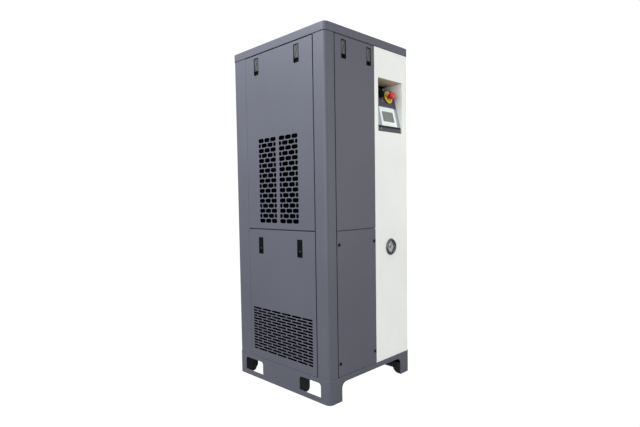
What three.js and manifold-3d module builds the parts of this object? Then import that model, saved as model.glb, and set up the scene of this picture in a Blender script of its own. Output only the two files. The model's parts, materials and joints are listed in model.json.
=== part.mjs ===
// Enclosed vertical screw compressor: a sheet-metal cabinet on a fork-pocket base, with lift-off panels,
// flush latches, a control recess, a pressure gauge and the belt-driven machine inside.
// Millimetres, +Z up. The origin is the centre of the footprint on the floor; the front faces -Y.

import * as THREE from "three";
import { mergeVertices } from "three/addons/utils/BufferGeometryUtils.js";
import Module from "manifold-3d";

const wasm = await Module();
wasm.setup();

// ---------------------------------------------------------------- driving dimensions

const HEIGHT = 1700;
const HALF = 650 / 2; // half of the square footprint, at the base and the roof cap
const INSET = 2; // posts and panels stand this far behind the base and the cap
const BODY = HALF - INSET; // half size over the posts and panels
const CORNER_R = 24; // outer corner radius of base and cap
const BODY_R = CORNER_R - INSET;
const JOIN_GAP = 0.3; // between pieces that touch

const BASE_TOP = 113;
const CAP_BOTTOM = HEIGHT - 39;
const SEAM_Z = 786; // horizontal seam between the lower and upper panels
const CAP_REVEAL = 1.5; // open line under the cap, over the posts and the light panel

const SHEET = 2; // posts
const PANEL_SHEET = 1.5;
const BASE_SHEET = 3;
const FLANGE = 18; // return flange of panels and posts
const SEAM = 4; // open seam between a panel and its neighbours
const REAR_SEAM = 1.2; // finer seam of the side panels at the rear posts

const SIDE_POST_W = 76; // front post's width on a side face, to the middle of its seam
const REAR_SIDE_W = 103; // rear posts' width on a side face
const FRONT_POST_W = 65;
const WHITE_EDGE_X = 32; // left edge of the light front panel

// Heights of the side and rear panels, then of the two grey front panels with their finer gaps.
const PANEL_LOW = BASE_TOP + 0.6;
const PANEL_HIGH = CAP_BOTTOM - 3.5;
const LOWER_TOP = SEAM_Z - 2.5;
const UPPER_BOTTOM = SEAM_Z + 2.5;
const FRONT_LOWER_TOP = SEAM_Z - 1;
const DOOR_BOTTOM = SEAM_Z + 1;
const DOOR_HIGH = CAP_BOTTOM - 2;

const LATCH = { w: 31, h: 81, cup: 14, wall: 1.5, upperZ: 1601, lowerZ: 702 };
const UPPER_LATCHES = { rear: -137, front: 147 }; // from a side panel's middle, towards the front
const LOWER_LATCHES = { rear: -128, front: 150 };
const DOOR_LATCHES = { left: -198, right: -13 };
const OVALS_SHIFT = 8; // the grilles of a side panel sit slightly towards the front
const SLOTS_SHIFT = 12;

const GAUGE = { x: 159, z: 683, flangeR: 42.5, bodyR: 31, stand: 8 };

const CONSOLE = { left: 61, right: 266, bottom: 1260, top: 1518, depth: 112 };
const PLATE = { length: 228, tilt: -0.221, bottomZ: 1262.5, bottomIn: 6, sheet: 2 };
const PLATE_CENTRE_X = (CONSOLE.left + CONSOLE.right) / 2;

const MOTOR = { x: 110, z: 290, r: 118, front: -150, rear: 200 };
const AIREND = { x: -150, z: 668, w: 170, h: 180, front: -110, rear: 180 };
const BELT = { y: -186, width: 34, thick: 9, motorR: 75, airendR: 50 };
const TANK = { x: -150, y: 90, r: 108, bottom: 150, top: 560 };
const FAN = { x: 0, y: 110, r: 158, z: 1500 };

// ---------------------------------------------------------------- materials

function paint(color, roughness, metalness) {
  return () => new THREE.MeshStandardMaterial({ color, roughness, metalness });
}
const darkPaint = paint(0x5c5d66, 0.55, 0.2);
const whitePaint = paint(0xe4e6e2, 0.5, 0.1);
const blackPlastic = paint(0x141416, 0.5, 0);
const latchGrey = paint(0x6a6d72, 0.45, 0.3);
const plateGrey = paint(0x4a4b57, 0.5, 0.1);
const bezelWhite = paint(0xeef2ef, 0.4, 0);
const screenGrey = paint(0x7c827f, 0.2, 0);
const safetyYellow = paint(0xe2c234, 0.45, 0);
const safetyRed = paint(0xb9202c, 0.4, 0);
const chrome = paint(0xc9ccd0, 0.2, 1);
const dialWhite = paint(0xdfe2e0, 0.6, 0);
const glass = paint(0xe8f0f2, 0.05, 0);
const castIron = paint(0x55585c, 0.7, 0.6);
const steel = paint(0x9a9da1, 0.4, 0.9);
const rubber = paint(0x17171a, 0.8, 0);
const motorGrey = paint(0x7d8287, 0.55, 0.5);
const tankBlack = paint(0x2b2d31, 0.5, 0.4);
const aluminium = paint(0xaeb2b6, 0.45, 0.9);
const filterWhite = paint(0xd7d9da, 0.5, 0.1);
const cabinetGrey = paint(0xb9bcbd, 0.5, 0.2);

// ---------------------------------------------------------------- geometry helpers

function toSolid(geometry) {
  const bare = geometry.clone();
  bare.deleteAttribute("normal");
  bare.deleteAttribute("uv");
  const merged = mergeVertices(bare, 1e-4);
  const mesh = new wasm.Mesh({
    numProp: 3,
    vertProperties: new Float32Array(merged.attributes.position.array),
    triVerts: new Uint32Array(merged.index.array),
  });
  return new wasm.Manifold(mesh);
}

function toGeometry(solid) {
  const mesh = solid.getMesh();
  const geometry = new THREE.BufferGeometry();
  geometry.setAttribute("position", new THREE.BufferAttribute(mesh.vertProperties, 3));
  geometry.setIndex(new THREE.BufferAttribute(mesh.triVerts, 1));
  return geometry;
}

// A box between two corners.
function block(low, high) {
  const size = high.map((v, i) => v - low[i]);
  const middle = high.map((v, i) => (v + low[i]) / 2);
  return toSolid(new THREE.BoxGeometry(...size).translate(...middle));
}

const AXIS_TURN = {
  x: (g) => g.rotateZ(-Math.PI / 2),
  y: (g) => g,
  z: (g) => g.rotateX(Math.PI / 2),
};

// A rod or cone of the given radii, from `from` to `to` along one axis, centred on (a, b) across it.
function rod(axis, centre, from, to, r0, r1 = r0, sides = 20) {
  const turned = AXIS_TURN[axis](new THREE.CylinderGeometry(r1, r0, to - from, sides));
  const middle = (from + to) / 2;
  const [a, b] = centre;
  const place = { x: [middle, a, b], y: [a, middle, b], z: [a, b, middle] }[axis];
  return toSolid(turned.translate(...place));
}

// A closed outline extruded along +Z by `depth`.
function extruded(shape, depth, curveSegments = 5) {
  return new THREE.ExtrudeGeometry(shape, { depth, bevelEnabled: false, curveSegments });
}

// The same as a solid, from z = low to high.
function prism(shape, low, high) {
  return toSolid(extruded(shape, high - low).translate(0, 0, low));
}

function polygon(points) {
  return new THREE.Shape(points.map(([x, y]) => new THREE.Vector2(x, y)));
}

function roundedSquare(half, radius) {
  const shape = new THREE.Shape();
  const flat = half - radius;
  shape.moveTo(half, -flat);
  shape.lineTo(half, flat);
  shape.absarc(flat, flat, radius, 0, Math.PI / 2);
  shape.absarc(-flat, flat, radius, Math.PI / 2, Math.PI);
  shape.absarc(-flat, -flat, radius, Math.PI, Math.PI * 1.5);
  shape.absarc(flat, -flat, radius, Math.PI * 1.5, Math.PI * 2);
  return shape;
}

// Points along a path of straight runs, with corner number i rounded to radii[i].
function roundedPath(corners, radii, steps = 6) {
  const points = [];
  corners.forEach((corner, i) => {
    const r = radii[i] ?? 0;
    if (r === 0) {
      points.push(corner.clone());
      return;
    }
    const back = corners[i - 1].clone().sub(corner).normalize();
    const ahead = corners[i + 1].clone().sub(corner).normalize();
    const start = corner.clone().addScaledVector(back, r);
    const end = corner.clone().addScaledVector(ahead, r);
    const centre = start.clone().addScaledVector(ahead, r);
    for (let k = 0; k <= steps; k += 1) {
      const a = (k / steps) * (Math.PI / 2);
      const point = centre.clone();
      point.addScaledVector(ahead, -r * Math.cos(a));
      point.addScaledVector(back, -r * Math.sin(a));
      points.push(point);
    }
    points[points.length - 1].copy(end);
  });
  return points;
}

// The outline of a bent sheet whose outer surface follows `corners` and whose metal is on the left.
function bentSheet(corners, radii, thickness) {
  const outer = roundedPath(corners.map(([x, y]) => new THREE.Vector2(x, y)), radii);
  const inner = outer.map((point, i) => {
    const before = outer[Math.max(i - 1, 0)];
    const after = outer[Math.min(i + 1, outer.length - 1)];
    const into = point.clone().sub(before);
    const out = after.clone().sub(point);
    const n0 = new THREE.Vector2(-into.y, into.x).normalize();
    const n1 = new THREE.Vector2(-out.y, out.x).normalize();
    const sum = n0.add(n1);
    const miter = sum.clone().normalize();
    const half = sum.length() / 2;
    const stretch = sum.length() < 1.01 ? 1 : 1 / half;
    return point.clone().addScaledVector(miter, thickness * stretch);
  });
  return new THREE.Shape([...outer, ...inner.reverse()]);
}

// ---------------------------------------------------------------- scene graph helpers

const compressor = new THREE.Group();

function addMesh(parent, name, solid, material) {
  const mesh = new THREE.Mesh(toGeometry(solid), material());
  mesh.name = name;
  parent.add(mesh);
  return mesh;
}

// A cabinet face as a frame: x to the right, y up, z outwards, with z = 0 at the footprint's edge.
function faceGroup(turn) {
  const around = new THREE.Group();
  around.rotation.z = turn;
  const face = new THREE.Group();
  face.rotation.x = Math.PI / 2;
  face.position.y = -HALF;
  around.add(face);
  compressor.add(around);
  return face;
}
const frontFace = faceGroup(0);
const leftFace = faceGroup(-Math.PI / 2);
const rightFace = faceGroup(Math.PI / 2);
const rearFace = faceGroup(Math.PI);

// ---------------------------------------------------------------- base

const LEG = { inner: 87, arch: 28, rail: 87, seam: 120 };
const POCKET = { pitch: 404, w: 137, low: 26, high: 92, topR: 14 };
const POCKET_FLAP = { low: 1, high: POCKET.high - 4, reach: 72, cornerR: 20 };
const LEG_FLAP = { low: 1, high: LEG.rail - LEG.arch, reach: 49, cornerR: 35 };
const FOOT_FLANGE = 26;

// Cut-out between a leg and the front rail, seen from the front, for the leg on the left.
function legArch() {
  const edge = -HALF + LEG.inner;
  const shape = new THREE.Shape();
  shape.moveTo(edge, -1);
  shape.lineTo(-HALF + LEG.seam + 1, -1);
  shape.lineTo(-HALF + LEG.seam + 1, LEG.rail);
  shape.lineTo(edge + LEG.arch, LEG.rail);
  shape.absarc(edge + LEG.arch, LEG.rail - LEG.arch, LEG.arch, Math.PI / 2, Math.PI);
  return shape;
}

function pocketOutline() {
  const half = POCKET.w / 2;
  const shape = new THREE.Shape();
  shape.moveTo(-half, POCKET.low);
  shape.lineTo(half, POCKET.low);
  shape.lineTo(half, POCKET.high - POCKET.topR);
  shape.absarc(half - POCKET.topR, POCKET.high - POCKET.topR, POCKET.topR, 0, Math.PI / 2);
  shape.absarc(-half + POCKET.topR, POCKET.high - POCKET.topR, POCKET.topR, Math.PI / 2, Math.PI);
  return shape;
}

// A flap bent inwards from the skirt, as an outline in reach and height with its free lower corner round.
function flapOutline({ low, high, reach, cornerR }) {
  const shape = new THREE.Shape();
  shape.moveTo(0, low);
  shape.lineTo(reach - cornerR, low);
  shape.absarc(reach - cornerR, low + cornerR, cornerR, -Math.PI / 2, 0);
  shape.lineTo(reach, high);
  shape.lineTo(0, high);
  return shape;
}

// The flap along the inner edge of the left skirt's front leg.
function legFlap() {
  const flap = extruded(flapOutline(LEG_FLAP), BASE_SHEET, 8);
  flap.rotateX(Math.PI / 2).rotateZ(Math.PI / 2);
  return toSolid(flap.translate(-HALF + LEG.inner - BASE_SHEET, -HALF + 1, 0));
}

// Side skirt of the base, built on the left: side wall, both corners, both legs, pockets and flaps.
function leftSkirt() {
  const legX = -HALF + LEG.seam;
  const corners = [[legX, HALF], [-HALF, HALF], [-HALF, -HALF], [legX, -HALF]];
  let skirt = prism(bentSheet(corners, [0, CORNER_R, CORNER_R, 0], BASE_SHEET), 0, BASE_TOP);
  const arch = extruded(legArch(), 2 * HALF + 2);
  arch.rotateX(Math.PI / 2).translate(0, HALF + 1, 0);
  skirt = skirt.subtract(toSolid(arch));
  const frontFlap = legFlap();
  skirt = skirt.add(frontFlap).add(mirrored(frontFlap, 1));
  const flangeY = HALF - CORNER_R - 10;
  skirt = skirt.add(
    block([-HALF + 1, -flangeY, 0], [-HALF + FOOT_FLANGE, flangeY, BASE_SHEET]),
  );
  for (const side of [-1, 1]) {
    const y = (side * POCKET.pitch) / 2;
    const hole = extruded(pocketOutline(), 20, 4);
    hole.rotateX(Math.PI / 2).rotateZ(-Math.PI / 2).translate(-HALF + 10, y, 0);
    skirt = skirt.subtract(toSolid(hole));
    for (const edge of [-1, 1]) {
      const flap = extruded(flapOutline(POCKET_FLAP), BASE_SHEET, 4);
      const inward = edge > 0 ? BASE_SHEET : 0;
      flap.rotateX(Math.PI / 2);
      flap.translate(-HALF + 1, y + (edge * POCKET.w) / 2 + inward, 0);
      skirt = skirt.add(toSolid(flap));
    }
  }
  return skirt;
}

function mirrored(solid, axis) {
  const mesh = solid.getMesh();
  const positions = mesh.vertProperties.slice();
  for (let i = axis; i < positions.length; i += 3) positions[i] = -positions[i];
  const triangles = mesh.triVerts.slice();
  for (let i = 0; i < triangles.length; i += 3) {
    const second = triangles[i + 1];
    triangles[i + 1] = triangles[i + 2];
    triangles[i + 2] = second;
  }
  return new wasm.Manifold(
    new wasm.Mesh({ numProp: 3, vertProperties: positions, triVerts: triangles }),
  );
}

// Angle-section rail across the front, between the legs.
function frontRail() {
  const end = HALF - LEG.seam - JOIN_GAP;
  const web = block([-end, -HALF, LEG.rail], [end, -HALF + BASE_SHEET, BASE_TOP]);
  const foot = block([-end, -HALF, LEG.rail], [end, -HALF + 30, LEG.rail + BASE_SHEET]);
  return web.add(foot);
}

function baseDeck() {
  const half = HALF - BASE_SHEET - JOIN_GAP;
  const plate = prism(roundedSquare(half, CORNER_R - BASE_SHEET), BASE_TOP - BASE_SHEET, BASE_TOP);
  const ribs = [-1, 1].map((side) =>
    block([-300, side * 103 - 3, LEG.rail + 5], [300, side * 103 + 3, BASE_TOP - 1]),
  );
  return plate.add(ribs[0]).add(ribs[1]);
}

addMesh(compressor, "base_left_skirt", leftSkirt(), darkPaint);
addMesh(compressor, "base_right_skirt", mirrored(leftSkirt(), 0), darkPaint);
addMesh(compressor, "base_front_rail", frontRail(), darkPaint);
addMesh(compressor, "base_rear_rail", mirrored(frontRail(), 1), darkPaint);
addMesh(compressor, "base_deck", baseDeck(), darkPaint);

// ---------------------------------------------------------------- posts, mid frame and roof

const POST_LOW = BASE_TOP + JOIN_GAP;
const POST_HIGH = CAP_BOTTOM - CAP_REVEAL;
const SIDE_POST_EDGE = HALF - SIDE_POST_W + SEAM / 2;
const REAR_SIDE_EDGE = HALF - REAR_SIDE_W + REAR_SEAM / 2;
const FRONT_POST_EDGE = HALF - FRONT_POST_W + SEAM / 2;

// Corner post drawn at the front left: a bent sheet with a return flange along each edge. `sideEdge` is
// the distance of its side face's edge from the cabinet's middle.
function cornerPost(sideEdge) {
  const corners = [
    [-BODY + FLANGE, -sideEdge],
    [-BODY, -sideEdge],
    [-BODY, -BODY],
    [-FRONT_POST_EDGE, -BODY],
    [-FRONT_POST_EDGE, -BODY + FLANGE],
  ];
  return prism(bentSheet(corners, [0, 0, BODY_R, 0, 0], SHEET), POST_LOW, POST_HIGH);
}

// Square ring of angle section behind the horizontal seam, welded to the posts.
function midFrame() {
  const outer = BODY - FLANGE - 2;
  const [low, high, width] = [SEAM_Z - 15, SEAM_Z + 15, 30];
  const body = block([-outer, -outer, low], [outer, outer, high]);
  const inner = outer - 3;
  const opening = outer - width;
  const cavity = block([-inner, -inner, low - 1], [inner, inner, high - 3]);
  const through = block([-opening, -opening, low - 1], [opening, opening, high + 1]);
  return body.subtract(cavity).subtract(through);
}

const ROOF_SLOT = { rows: 10, pitch: 27, w: 170, h: 12, halfX: 100 };

// Roof cap: a deep tray with a bottom flange and two blocks of slots over the fan.
function roofCap() {
  const wall = 2.5;
  let cap = prism(roundedSquare(HALF, CORNER_R), CAP_BOTTOM, HEIGHT);
  const cavity = roundedSquare(HALF - wall, CORNER_R - wall);
  cap = cap.subtract(prism(cavity, CAP_BOTTOM + wall, HEIGHT - wall));
  const mouth = HALF - 27;
  cap = cap.subtract(block([-mouth, -mouth, CAP_BOTTOM - 1], [mouth, mouth, CAP_BOTTOM + wall + 1]));
  for (let row = 0; row < ROOF_SLOT.rows; row += 1) {
    const y = FAN.y + (row - (ROOF_SLOT.rows - 1) / 2) * ROOF_SLOT.pitch;
    for (const side of [-1, 1]) {
      const x = side * ROOF_SLOT.halfX;
      const low = [x - ROOF_SLOT.w / 2, y - ROOF_SLOT.h / 2, HEIGHT - wall - 1];
      const high = [x + ROOF_SLOT.w / 2, y + ROOF_SLOT.h / 2, HEIGHT + 1];
      cap = cap.subtract(block(low, high));
    }
  }
  return cap;
}

const rearLeftPost = mirrored(cornerPost(REAR_SIDE_EDGE), 1);
addMesh(compressor, "front_left_post", cornerPost(SIDE_POST_EDGE), darkPaint);
addMesh(compressor, "rear_left_post", rearLeftPost, darkPaint);
addMesh(compressor, "rear_right_post", mirrored(rearLeftPost, 0), darkPaint);
addMesh(compressor, "mid_frame", midFrame(), darkPaint);
addMesh(compressor, "roof_cap", roofCap(), darkPaint);

// ---------------------------------------------------------------- panels, in face coordinates

const FACE = -INSET; // outer surface of every panel

// A flat sheet with a return flange on all four edges, open towards the inside.
function panelTray(x0, x1, y0, y1) {
  const inner = FACE - FLANGE;
  const outside = block([x0, y0, inner], [x1, y1, FACE]);
  const cavity = block(
    [x0 + PANEL_SHEET, y0 + PANEL_SHEET, inner - 1],
    [x1 - PANEL_SHEET, y1 - PANEL_SHEET, FACE - PANEL_SHEET],
  );
  return outside.subtract(cavity);
}

// A latch recess pressed into the panel: a cup behind a rectangular opening.
function withLatchCup(panel, x, y) {
  const halfW = LATCH.w / 2;
  const halfH = LATCH.h / 2;
  const back = FACE - LATCH.cup;
  const cup = block(
    [x - halfW - LATCH.wall, y - halfH - LATCH.wall, back],
    [x + halfW + LATCH.wall, y + halfH + LATCH.wall, FACE - 1],
  );
  const hollow = block([x - halfW, y - halfH, back + LATCH.wall], [x + halfW, y + halfH, FACE + 1]);
  return panel.add(cup).subtract(hollow);
}

const OVAL = { w: 40, h: 20.5, pitchX: 44, pitchY: 25, rows: 17, lowZ: 829, blockHalf: 75 };
const GRILLE_SLOT = { h: 9.5, rib: 6.8, pitchY: 14.2, rows: 16, lowZ: 154.8, half: 212 };

// The end of one oval hole towards `side`, from low to high: pointed, or cut square at the block's edge.
function ovalEnd(x, y, side, edge) {
  const tip = x + (side * OVAL.w) / 2;
  const halfH = OVAL.h / 2;
  if (side * (tip - edge) > 0) return [[edge, y - halfH], [edge, y + halfH]];
  const shoulder = tip - side * OVAL.h * 0.42;
  return [[shoulder, y - halfH], [tip, y], [shoulder, y + halfH]];
}

// A flattened hexagon, the plain form of one oval hole, cut short at `from` and `to`.
function ovalHole(x, y, from, to) {
  const points = [...ovalEnd(x, y, 1, to), ...ovalEnd(x, y, -1, from).reverse()];
  return prism(polygon(points), FACE - PANEL_SHEET - 1, FACE + 1);
}

// One block of oval holes: rows of three, offset from rows of two with a half hole at each end.
function ovalBlock(centreX) {
  const holes = [];
  const edge = OVAL.pitchX + OVAL.w / 2;
  for (let row = 0; row < OVAL.rows; row += 1) {
    const y = OVAL.lowZ + row * OVAL.pitchY;
    const offsets = row % 2 === 0 ? [-1, 0, 1] : [-1.5, -0.5, 0.5, 1.5];
    for (const step of offsets) {
      const x = centreX + step * OVAL.pitchX;
      holes.push(ovalHole(x, y, centreX - edge, centreX + edge));
    }
  }
  return holes;
}

// Rows of long slots in a brick pattern: two slots in one row, one between two halves in the next.
function slotGrille(centreX) {
  const holes = [];
  const { h, rib, pitchY, rows, lowZ, half } = GRILLE_SLOT;
  const w = half;
  const pitchX = w + rib;
  for (let row = 0; row < rows; row += 1) {
    const y = lowZ + row * pitchY;
    const first = centreX - half - (row % 2 === 0 ? 0 : pitchX / 2);
    for (let x = first; x < centreX + half - rib; x += pitchX) {
      const low = Math.max(x, centreX - half);
      const high = Math.min(x + w, centreX + half);
      holes.push(block([low, y, FACE - PANEL_SHEET - 1], [high, y + h, FACE + 1]));
    }
  }
  return holes;
}

function cutAll(solid, cutters) {
  return solid.subtract(wasm.Manifold.union(cutters));
}

const SIDE_FRONT = HALF - SIDE_POST_W - SEAM / 2; // a side panel's edges, from the cabinet's middle
const SIDE_REAR = HALF - REAR_SIDE_W - REAR_SEAM / 2;
const DOOR = { left: -HALF + FRONT_POST_W + SEAM / 2, right: WHITE_EDGE_X - 1 };

// A panel between x0 and x1 with a latch cup at each of `xs`.
function latchedPanel(x0, x1, [low, high], xs, latchZ) {
  return xs.reduce((solid, x) => withLatchCup(solid, x, latchZ), panelTray(x0, x1, low, high));
}

// Latch positions in face coordinates, from those measured towards the front.
const onLeft = ({ rear, front }) => [rear, front];
const onRight = ({ rear, front }) => [-front, -rear];
const doorLatches = [DOOR_LATCHES.left, DOOR_LATCHES.right];
const LOWER = [PANEL_LOW, LOWER_TOP];
const UPPER = [UPPER_BOTTOM, PANEL_HIGH];

// The cabinet's front is at +x on its left face and at -x on its right face.
function leftPanel(heights, latches, z) {
  return latchedPanel(-SIDE_REAR, SIDE_FRONT, heights, onLeft(latches), z);
}

function rightPanel(heights, latches, z) {
  return latchedPanel(-SIDE_FRONT, SIDE_REAR, heights, onRight(latches), z);
}
const doorHeights = [DOOR_BOTTOM, DOOR_HIGH];
const frontDoor = latchedPanel(DOOR.left, DOOR.right, doorHeights, doorLatches, LATCH.upperZ);

const ovals = [OVALS_SHIFT - OVAL.blockHalf, OVALS_SHIFT + OVAL.blockHalf].flatMap(ovalBlock);
const leftUpper = cutAll(leftPanel(UPPER, UPPER_LATCHES, LATCH.upperZ), ovals);
const leftLower = cutAll(leftPanel(LOWER, LOWER_LATCHES, LATCH.lowerZ), slotGrille(SLOTS_SHIFT));
const rightUpper = rightPanel(UPPER, UPPER_LATCHES, LATCH.upperZ);
const rightLower = cutAll(rightPanel(LOWER, LOWER_LATCHES, LATCH.lowerZ), slotGrille(-SLOTS_SHIFT));

addMesh(leftFace, "left_upper_panel", leftUpper, darkPaint);
addMesh(leftFace, "left_lower_panel", leftLower, darkPaint);
addMesh(rightFace, "right_upper_panel", rightUpper, darkPaint);
addMesh(rightFace, "right_lower_panel", rightLower, darkPaint);
addMesh(frontFace, "front_door", frontDoor, darkPaint);

// ---------------------------------------------------------------- latch levers

const LEVER = { side: 1.5, top: 1.5, length: 60, thick: 4.5, barrelR: 3.2, back: 1 };

// Paddle lever with its pivot barrel at the top; it swings out from below.
function latchLever(x, y) {
  const top = y + LATCH.h / 2 - LEVER.top;
  const halfW = LATCH.w / 2 - LEVER.side;
  const pivotY = top - LEVER.barrelR;
  const pivotZ = FACE - LEVER.back - LEVER.barrelR;
  const barrel = rod("x", [pivotY, pivotZ], x - halfW, x + halfW, LEVER.barrelR, LEVER.barrelR, 8);
  const paddle = block(
    [x - halfW, top - LEVER.length, FACE - LEVER.back - LEVER.thick],
    [x + halfW, pivotY, FACE - LEVER.back],
  );
  const lip = block(
    [x - halfW, top - LEVER.length, FACE - LATCH.cup + 4],
    [x + halfW, top - LEVER.length + 3, FACE - LEVER.back],
  );
  return barrel.add(paddle).add(lip);
}

function addLatches(face, prefix, xs, y, names) {
  xs.forEach((x, i) => addMesh(face, `${prefix}_latch_${names[i]}`, latchLever(x, y), latchGrey));
}
addLatches(leftFace, "left_upper", onLeft(UPPER_LATCHES), LATCH.upperZ, ["rear", "front"]);
addLatches(leftFace, "left_lower", onLeft(LOWER_LATCHES), LATCH.lowerZ, ["rear", "front"]);
addLatches(rightFace, "right_upper", onRight(UPPER_LATCHES), LATCH.upperZ, ["front", "rear"]);
addLatches(rightFace, "right_lower", onRight(LOWER_LATCHES), LATCH.lowerZ, ["front", "rear"]);
addLatches(frontFace, "door", doorLatches, LATCH.upperZ, ["left", "right"]);

// ---------------------------------------------------------------- fixed panels and their screws

const SCREW = { headR: 8, headH: 3.6, shankR: 2.5, shank: 12, edgeX: 13, topZ: 723, lowZ: 176 };
const screwSpots = [
  [DOOR.left + SCREW.edgeX, SCREW.topZ],
  [DOOR.right - SCREW.edgeX, SCREW.topZ],
  [DOOR.left + SCREW.edgeX, SCREW.lowZ],
  [DOOR.right - SCREW.edgeX, SCREW.lowZ],
];

function frontLowerPanel() {
  const holes = screwSpots.map((spot) =>
    rod("z", spot, FACE - 4, FACE + 1, SCREW.shankR + JOIN_GAP, SCREW.shankR + JOIN_GAP, 10),
  );
  return cutAll(panelTray(DOOR.left, DOOR.right, PANEL_LOW, FRONT_LOWER_TOP), holes);
}

function roundHeadScrew(spot) {
  const seat = FACE + JOIN_GAP;
  const head = rod("z", spot, seat, seat + SCREW.headH, SCREW.headR, SCREW.headR * 0.55, 16);
  const shank = rod("z", spot, FACE - SCREW.shank, seat + 1, SCREW.shankR, SCREW.shankR, 8);
  return head.add(shank);
}

addMesh(frontFace, "front_lower_panel", frontLowerPanel(), darkPaint);
screwSpots.forEach((spot, i) =>
  addMesh(frontFace, `front_panel_screw_${i + 1}`, roundHeadScrew(spot), blackPlastic),
);

// Light panel that wraps the front right corner, with the console opening and the gauge hole.
function frontWhitePanel() {
  const corners = [
    [WHITE_EDGE_X, -BODY + FLANGE],
    [WHITE_EDGE_X, -BODY],
    [BODY, -BODY],
    [BODY, -SIDE_POST_EDGE],
    [BODY - FLANGE, -SIDE_POST_EDGE],
  ];
  const sheet = prism(bentSheet(corners, [0, 0, BODY_R, 0, 0], PANEL_SHEET), POST_LOW, POST_HIGH);
  const window = block(
    [CONSOLE.left, -HALF - 5, CONSOLE.bottom],
    [CONSOLE.right, -HALF + 10, CONSOLE.top],
  );
  const hole = rod("y", [GAUGE.x, GAUGE.z], -HALF - 5, -HALF + 10, GAUGE.bodyR + 1, GAUGE.bodyR + 1, 24);
  return sheet.subtract(window).subtract(hole);
}

const OUTLET = { x: -150, z: 980, r: 24, bore: 13, inside: 60 };
const GLAND = { x: 170, z: 900, r: 14, bore: 8, inside: 25 };

function rearPanel() {
  const half = HALF - FRONT_POST_W - SEAM / 2;
  const holes = [OUTLET, GLAND].map(({ x, z, r }) => {
    const size = r + 1;
    return rod("z", [x, z], FACE - 4, FACE + 1, size, size, 20);
  });
  return cutAll(panelTray(-half, half, PANEL_LOW, PANEL_HIGH), holes);
}

addMesh(compressor, "front_white_panel", frontWhitePanel(), whitePaint);
addMesh(rearFace, "rear_panel", rearPanel(), darkPaint);

// Bulkhead fittings through the rear panel: a hexagon and flange outside, a pipe stub inside.
function bulkhead({ x, z, r, bore, inside }) {
  const flange = rod("z", [x, z], FACE + JOIN_GAP, FACE + 4, r + 8, r + 8, 20);
  const hexagon = rod("z", [x, z], FACE + 3, GAUGE.stand, r + 4, r + 4, 6);
  const stub = rod("z", [x, z], FACE - inside, FACE + 4, r, r, 20);
  const hole = rod("z", [x, z], FACE - inside - 1, GAUGE.stand + 1, bore, bore, 16);
  return flange.add(hexagon).add(stub).subtract(hole);
}
addMesh(rearFace, "air_outlet", bulkhead(OUTLET), steel);
addMesh(rearFace, "cable_gland", bulkhead(GLAND), blackPlastic);

// ---------------------------------------------------------------- control recess

// Open-fronted tray behind the console opening.
function consoleTray() {
  const wall = 2;
  const front = FACE - PANEL_SHEET - JOIN_GAP;
  const { left, right, bottom, top, depth } = CONSOLE;
  const outer = block([left - wall, bottom - wall, -depth], [right + wall, top + wall, front]);
  return outer.subtract(block([left, bottom, -depth + wall], [right, top, front + 1]));
}
addMesh(frontFace, "console_tray", consoleTray(), whitePaint);

const plateFrame = new THREE.Group(); // x across, y up the plate from its lower edge, z outwards
plateFrame.position.set(PLATE_CENTRE_X, PLATE.bottomZ, -PLATE.bottomIn);
plateFrame.rotation.x = PLATE.tilt;
frontFace.add(plateFrame);

const onPlate = (x) => x - PLATE_CENTRE_X;
const HMI = { x: onPlate(169), y: 78, w: 129, h: 100, screenW: 95, screenH: 53, stand: 6 };
const ESTOP = { x: onPlate(203), y: 186, ringR: 31, headR: 20 };
const SELECTOR = { x: onPlate(136), y: 198, r: 23, knobR: 21, knobTop: 20, gripTop: 27 };
const SWITCH_HOLE_R = 11.5; // 22 mm switches with a little play

// A block centred on the operator panel, w by h and from low to high off the plate.
function hmiBlock(w, h, low, high) {
  return block([HMI.x - w / 2, HMI.y - h / 2, low], [HMI.x + w / 2, HMI.y + h / 2, high]);
}

function controlPlate() {
  const half = (CONSOLE.right - CONSOLE.left) / 2 - 0.7;
  const plate = block([-half, 0, -PLATE.sheet], [half, PLATE.length, 0]);
  const holes = [ESTOP, SELECTOR].map(({ x, y }) => rod("z", [x, y], -5, 5, SWITCH_HOLE_R));
  holes.push(hmiBlock(HMI.w - 10, HMI.h - 10, -5, 5));
  return cutAll(plate, holes);
}

// Operator panel housing: a bezel in front of the plate and a body behind it, with a screen pocket.
function hmiBezel() {
  const bezel = hmiBlock(HMI.w, HMI.h, JOIN_GAP, HMI.stand);
  const body = hmiBlock(HMI.w - 11, HMI.h - 11, -32, 1);
  const pocket = hmiBlock(HMI.screenW, HMI.screenH, HMI.stand - 3, HMI.stand + 1);
  return bezel.add(body).subtract(pocket);
}

function hmiScreen() {
  return hmiBlock(HMI.screenW - 0.8, HMI.screenH - 0.8, HMI.stand - 3 + JOIN_GAP, HMI.stand - 0.8);
}

// A turned piece on a local axis along +z; the profile is [radius, z] pairs from the axis and back to it.
function turned(profile, spot, sides = 20) {
  const points = profile.map(([r, z]) => new THREE.Vector2(r, z));
  const geometry = new THREE.LatheGeometry(points, sides);
  return toSolid(geometry.rotateX(Math.PI / 2).translate(spot.x, spot.y, 0));
}

function estopCollar() {
  const profile = [
    [6, -22], [11, -22], [11, JOIN_GAP], [24, JOIN_GAP], [ESTOP.ringR, 6], [ESTOP.ringR, 9],
    [28, 9], [21, 3.5], [12, 3.5], [12, 6.5], [6, 6.5], [6, -22],
  ];
  return turned(profile, ESTOP);
}

function estopPlunger() {
  return rod("z", [ESTOP.x, ESTOP.y], -24, 34, 5, 5, 16);
}

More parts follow.
